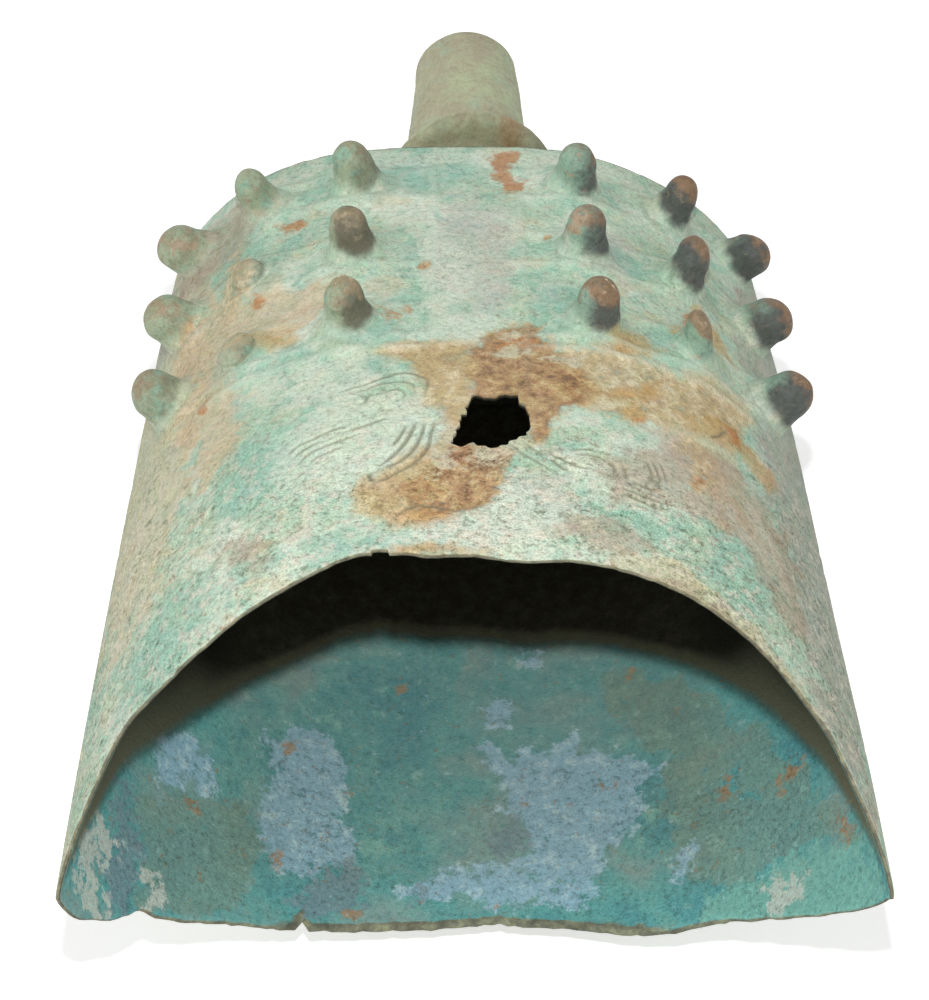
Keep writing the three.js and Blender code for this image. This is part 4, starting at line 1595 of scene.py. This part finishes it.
def boss_points(profile, lean, height_share, seat, axes, seed):
    """The profile turned about the wall's outward direction, its foot following the wall.

    The foot is moved by steps of its own distance from the skin, then clouds wear the surface.
    """
    radius, height = profile
    sideways, lengthwise, outwards = axes
    turn = np.linspace(0, 2 * math.pi, BOSS_COLUMNS, endpoint=False)
    tipped = np.maximum(height, 0)[:, None] / (BOSS_HEIGHT * height_share)
    spread_u = radius[:, None] * np.cos(turn) + lean[0] * tipped
    spread_v = radius[:, None] * np.sin(turn) + lean[1] * tipped
    flat = seat + spread_u[..., None] * sideways + spread_v[..., None] * lengthwise
    drop = np.zeros(spread_u.shape)
    for _ in range(FOOT_STEPS):
        drop -= proud_of(flat + drop[..., None] * outwards)
    drop = np.clip(drop, *FOOT_TRAVEL) * fade(height, 6 * height_share, -1)[:, None]
    points = flat + (height[:, None] + drop)[..., None] * outwards
    loss = BOSS_LOSS + layered_clouds(points, BOSS_CLOUDS, seed)
    inward = seat + np.maximum(height, 0)[:, None, None] * outwards - points
    length = np.linalg.norm(inward, axis=-1, keepdims=True)
    inward = inward / np.maximum(length, 1e-6)
    return points + inward * (loss * fade(length[..., 0], 0, 4))[..., None]


def mark_boss(mesh, tones, lean, height_share, seat, axes, face):
    """The marks that a boss's finish reads: its root, top, a dark side that is partly painted shade,
    and painted glints.
    """
    sideways, lengthwise, outwards = axes
    places = mesh_points(mesh)
    offset = places - seat
    risen = offset @ outwards
    share = risen / (BOSS_HEIGHT * height_share)
    rightwards = (offset @ sideways - lean[0] * share) / BOSS_HEAD_RADIUS
    crownwards = (offset @ lengthwise - lean[1] * share) / BOSS_HEAD_RADIUS
    dark, brown, glint, spread = tones
    left_half = fade(rightwards, 0.5, -0.9)
    root_height = (7 + 6 * left_half * (1 - spread)) * min(height_share + 0.3, 1)
    root = fade(risen, root_height, 1)
    topmost = fade(share + 0.15 * crownwards + 0.15 * rightwards, 0.45, 1.1)
    # Dark side towards the right: partly dark patina and partly painted shade
    dark_patina_and_shade = fade(0.85 * rightwards - 0.35 * crownwards + 1.3 * spread, -0.8, 1.0)
    root = np.maximum(root, WORN_ROOT * (height_share < WORN_HEIGHT))
    set_marks(mesh, root=root, foot=0.8, browned_top=brown * topmost, dark=dark * dark_patina_and_shade,
              glint=glint * fade(share, 0.86, 0.98))
    mark_zones(mesh, places[:, 0], -places[:, 1], np.full(len(places), face))
    set_marks(mesh, hollow=0, crest=0, weathered=0)


def boss(name, across, fall, face, seed):
    """One boss: its own form on the wall, its own tones, and the finish of its side."""
    seat = face_point(across, fall, face, 0)
    outwards = face_normal(across, fall, face)
    lengthwise = np.array([0.0, 1, 0])
    axes = (np.cross(lengthwise, outwards), lengthwise, outwards)
    rear_lean = np.random.default_rng(seed).uniform(-REAR_LEAN, REAR_LEAN, 2)
    rear_form = (REAR_HEIGHT_SHARE, HEAD_SHARES[name.split("_")[-1]], *rear_lean)
    height_share, head_share, *lean = own_values(name, BOSS_FORMS, rear_form)
    profile = boss_profile(height_share, head_share)
    mesh = grid_mesh(name, boss_points(profile, lean, height_share, seat, axes, seed), False)
    tones = own_values(name, BOSS_TONES, REAR_TONES)
    mark_boss(mesh, tones, lean, height_share, seat, axes, face)
    is_dark = face == 1 and across > 0
    finish, slot_name = (DARK_FINISH, "bronze_dark") if is_dark else (OLIVE_FINISH, "bronze_olive")
    return finished(mesh, finish, slot_name, name)


# Floor, light and camera

FLOOR_REACH = 20
FLOOR_GREY = (0.82, 0.82, 0.82, 1)
FLOOR_GLOW = 0.48
WHITE = (1, 1, 1, 1)
AMBIENT_LEVEL = 0.5
KEY_LEVEL = 0.78
FILL_LEVEL = 0.16
KEY_RADIUS = 10
KEY_DISTANCE = 680
KEY_TARGET = np.array([0, -195, 78])
TO_KEY_LIGHT = np.array([-0.018, -0.553, 0.833])
KEY_PLACE = KEY_TARGET + KEY_DISTANCE * TO_KEY_LIGHT
FILL_SPREAD = math.radians(70)
TO_FILL_LIGHT = (-0.85, -0.25, 0.45)

LENS = 101.4
SENSOR_WIDTH = 36
VIEW_DISTANCE = 703.948
VIEW_FALL = math.radians(45.768)
VIEW_TURN = math.radians(0.843)
VIEW_ROLL = math.radians(0.594)
VIEW_TARGET = np.array([-2.006, -150, 51.863])


def floor():
    """A pale plane that a camera sees as white, and that keeps the bell's shadow."""
    mesh = bpy.data.meshes.new("floor")
    corners = [(x * FLOOR_REACH, y * FLOOR_REACH, 0) for x, y in ((-1, -1), (1, -1), (1, 1), (-1, 1))]
    mesh.from_pydata(corners, [], [(0, 1, 2, 3)])
    piece = added("floor", mesh)
    f = Finish("white_floor")
    f.feed(f.shader.inputs["Base Color"], FLOOR_GREY)
    f.feed(f.shader.inputs["Roughness"], 0.9)
    f.feed(f.shader.inputs["Emission Color"], WHITE)
    f.feed(f.shader.inputs["Emission Strength"], f.times(f.background_rays(), FLOOR_GLOW))
    mesh.materials.append(f.material)


def sun(name, level, spread, towards):
    """A lamp far away in a direction of the bell's frame, as bright on white as its level."""
    data = bpy.data.lights.new(name, "SUN")
    data.energy = level * math.pi
    data.angle = spread
    back = unit(turned(towards))
    side = unit(np.cross([0, 0, 1], back))
    axes = np.column_stack([side, np.cross(back, side), back])
    added(name, data).matrix_world = Matrix(axes.tolist()).to_4x4()


def near_lamp(name, level, radius, place, distance):
    """A small round lamp at a place of the bell's frame.

    Its level is how bright a white surface becomes at the given distance.
    """
    data = bpy.data.lights.new(name, "POINT")
    data.energy = level * 4 * (math.pi * distance / 1000) ** 2
    data.shadow_soft_size = radius / 1000
    added(name, data).location = laid(place).tolist()


def light():
    """A near lamp over the mouth, a soft fill from the left, and an even surround, seen as white."""
    near_lamp("key_light", KEY_LEVEL, KEY_RADIUS, KEY_PLACE, KEY_DISTANCE)
    sun("fill_light", FILL_LEVEL, FILL_SPREAD, TO_FILL_LIGHT)
    world = bpy.data.worlds.new("studio")
    world.use_nodes = True
    surround = Nodes(world.node_tree)
    background = surround.tree.nodes["Background"]
    strength = surround.fade(surround.background_rays(), 0, 1, AMBIENT_LEVEL, 1)
    surround.feed(background.inputs["Color"], WHITE)
    surround.feed(background.inputs["Strength"], strength)
    bpy.context.scene.world = world


def camera():
    """The photograph's view: aimed from above the mouth along the bell, slightly turned."""
    forwards = math.cos(VIEW_FALL)
    ahead = np.array([math.sin(VIEW_TURN) * forwards, math.cos(VIEW_TURN) * forwards,
                      -math.sin(VIEW_FALL)])
    level = unit(np.cross(ahead, [0, 0, 1]))
    upright = np.cross(level, ahead)
    right = math.cos(VIEW_ROLL) * level + math.sin(VIEW_ROLL) * upright
    up = math.cos(VIEW_ROLL) * upright - math.sin(VIEW_ROLL) * level
    data = bpy.data.cameras.new("camera")
    data.lens = LENS
    data.sensor_width = SENSOR_WIDTH
    data.sensor_fit = "HORIZONTAL"
    data.clip_start = 0.01
    data.clip_end = 50
    viewer = added("camera", data)
    axes = np.column_stack([turned(right), turned(up), turned(-ahead)])
    place = Matrix(axes.tolist()).to_4x4()
    place.translation = laid(VIEW_TARGET - VIEW_DISTANCE * ahead).tolist()
    viewer.matrix_world = place
    bpy.context.scene.camera = viewer


body_wall()
crown_plate()
shank()
shank_ring()
suspension_loop()
for number, place in enumerate(boss_places()):
    boss(*place, FIRST_BOSS_SEED + BOSS_SEED_STEP * number)
core = frame["nodes"]["shank_core"]
core.data.materials.clear()
core.data.materials.append(clay_finish())
floor()
light()
camera()
bpy.context.scene.view_settings.view_transform = "Standard"
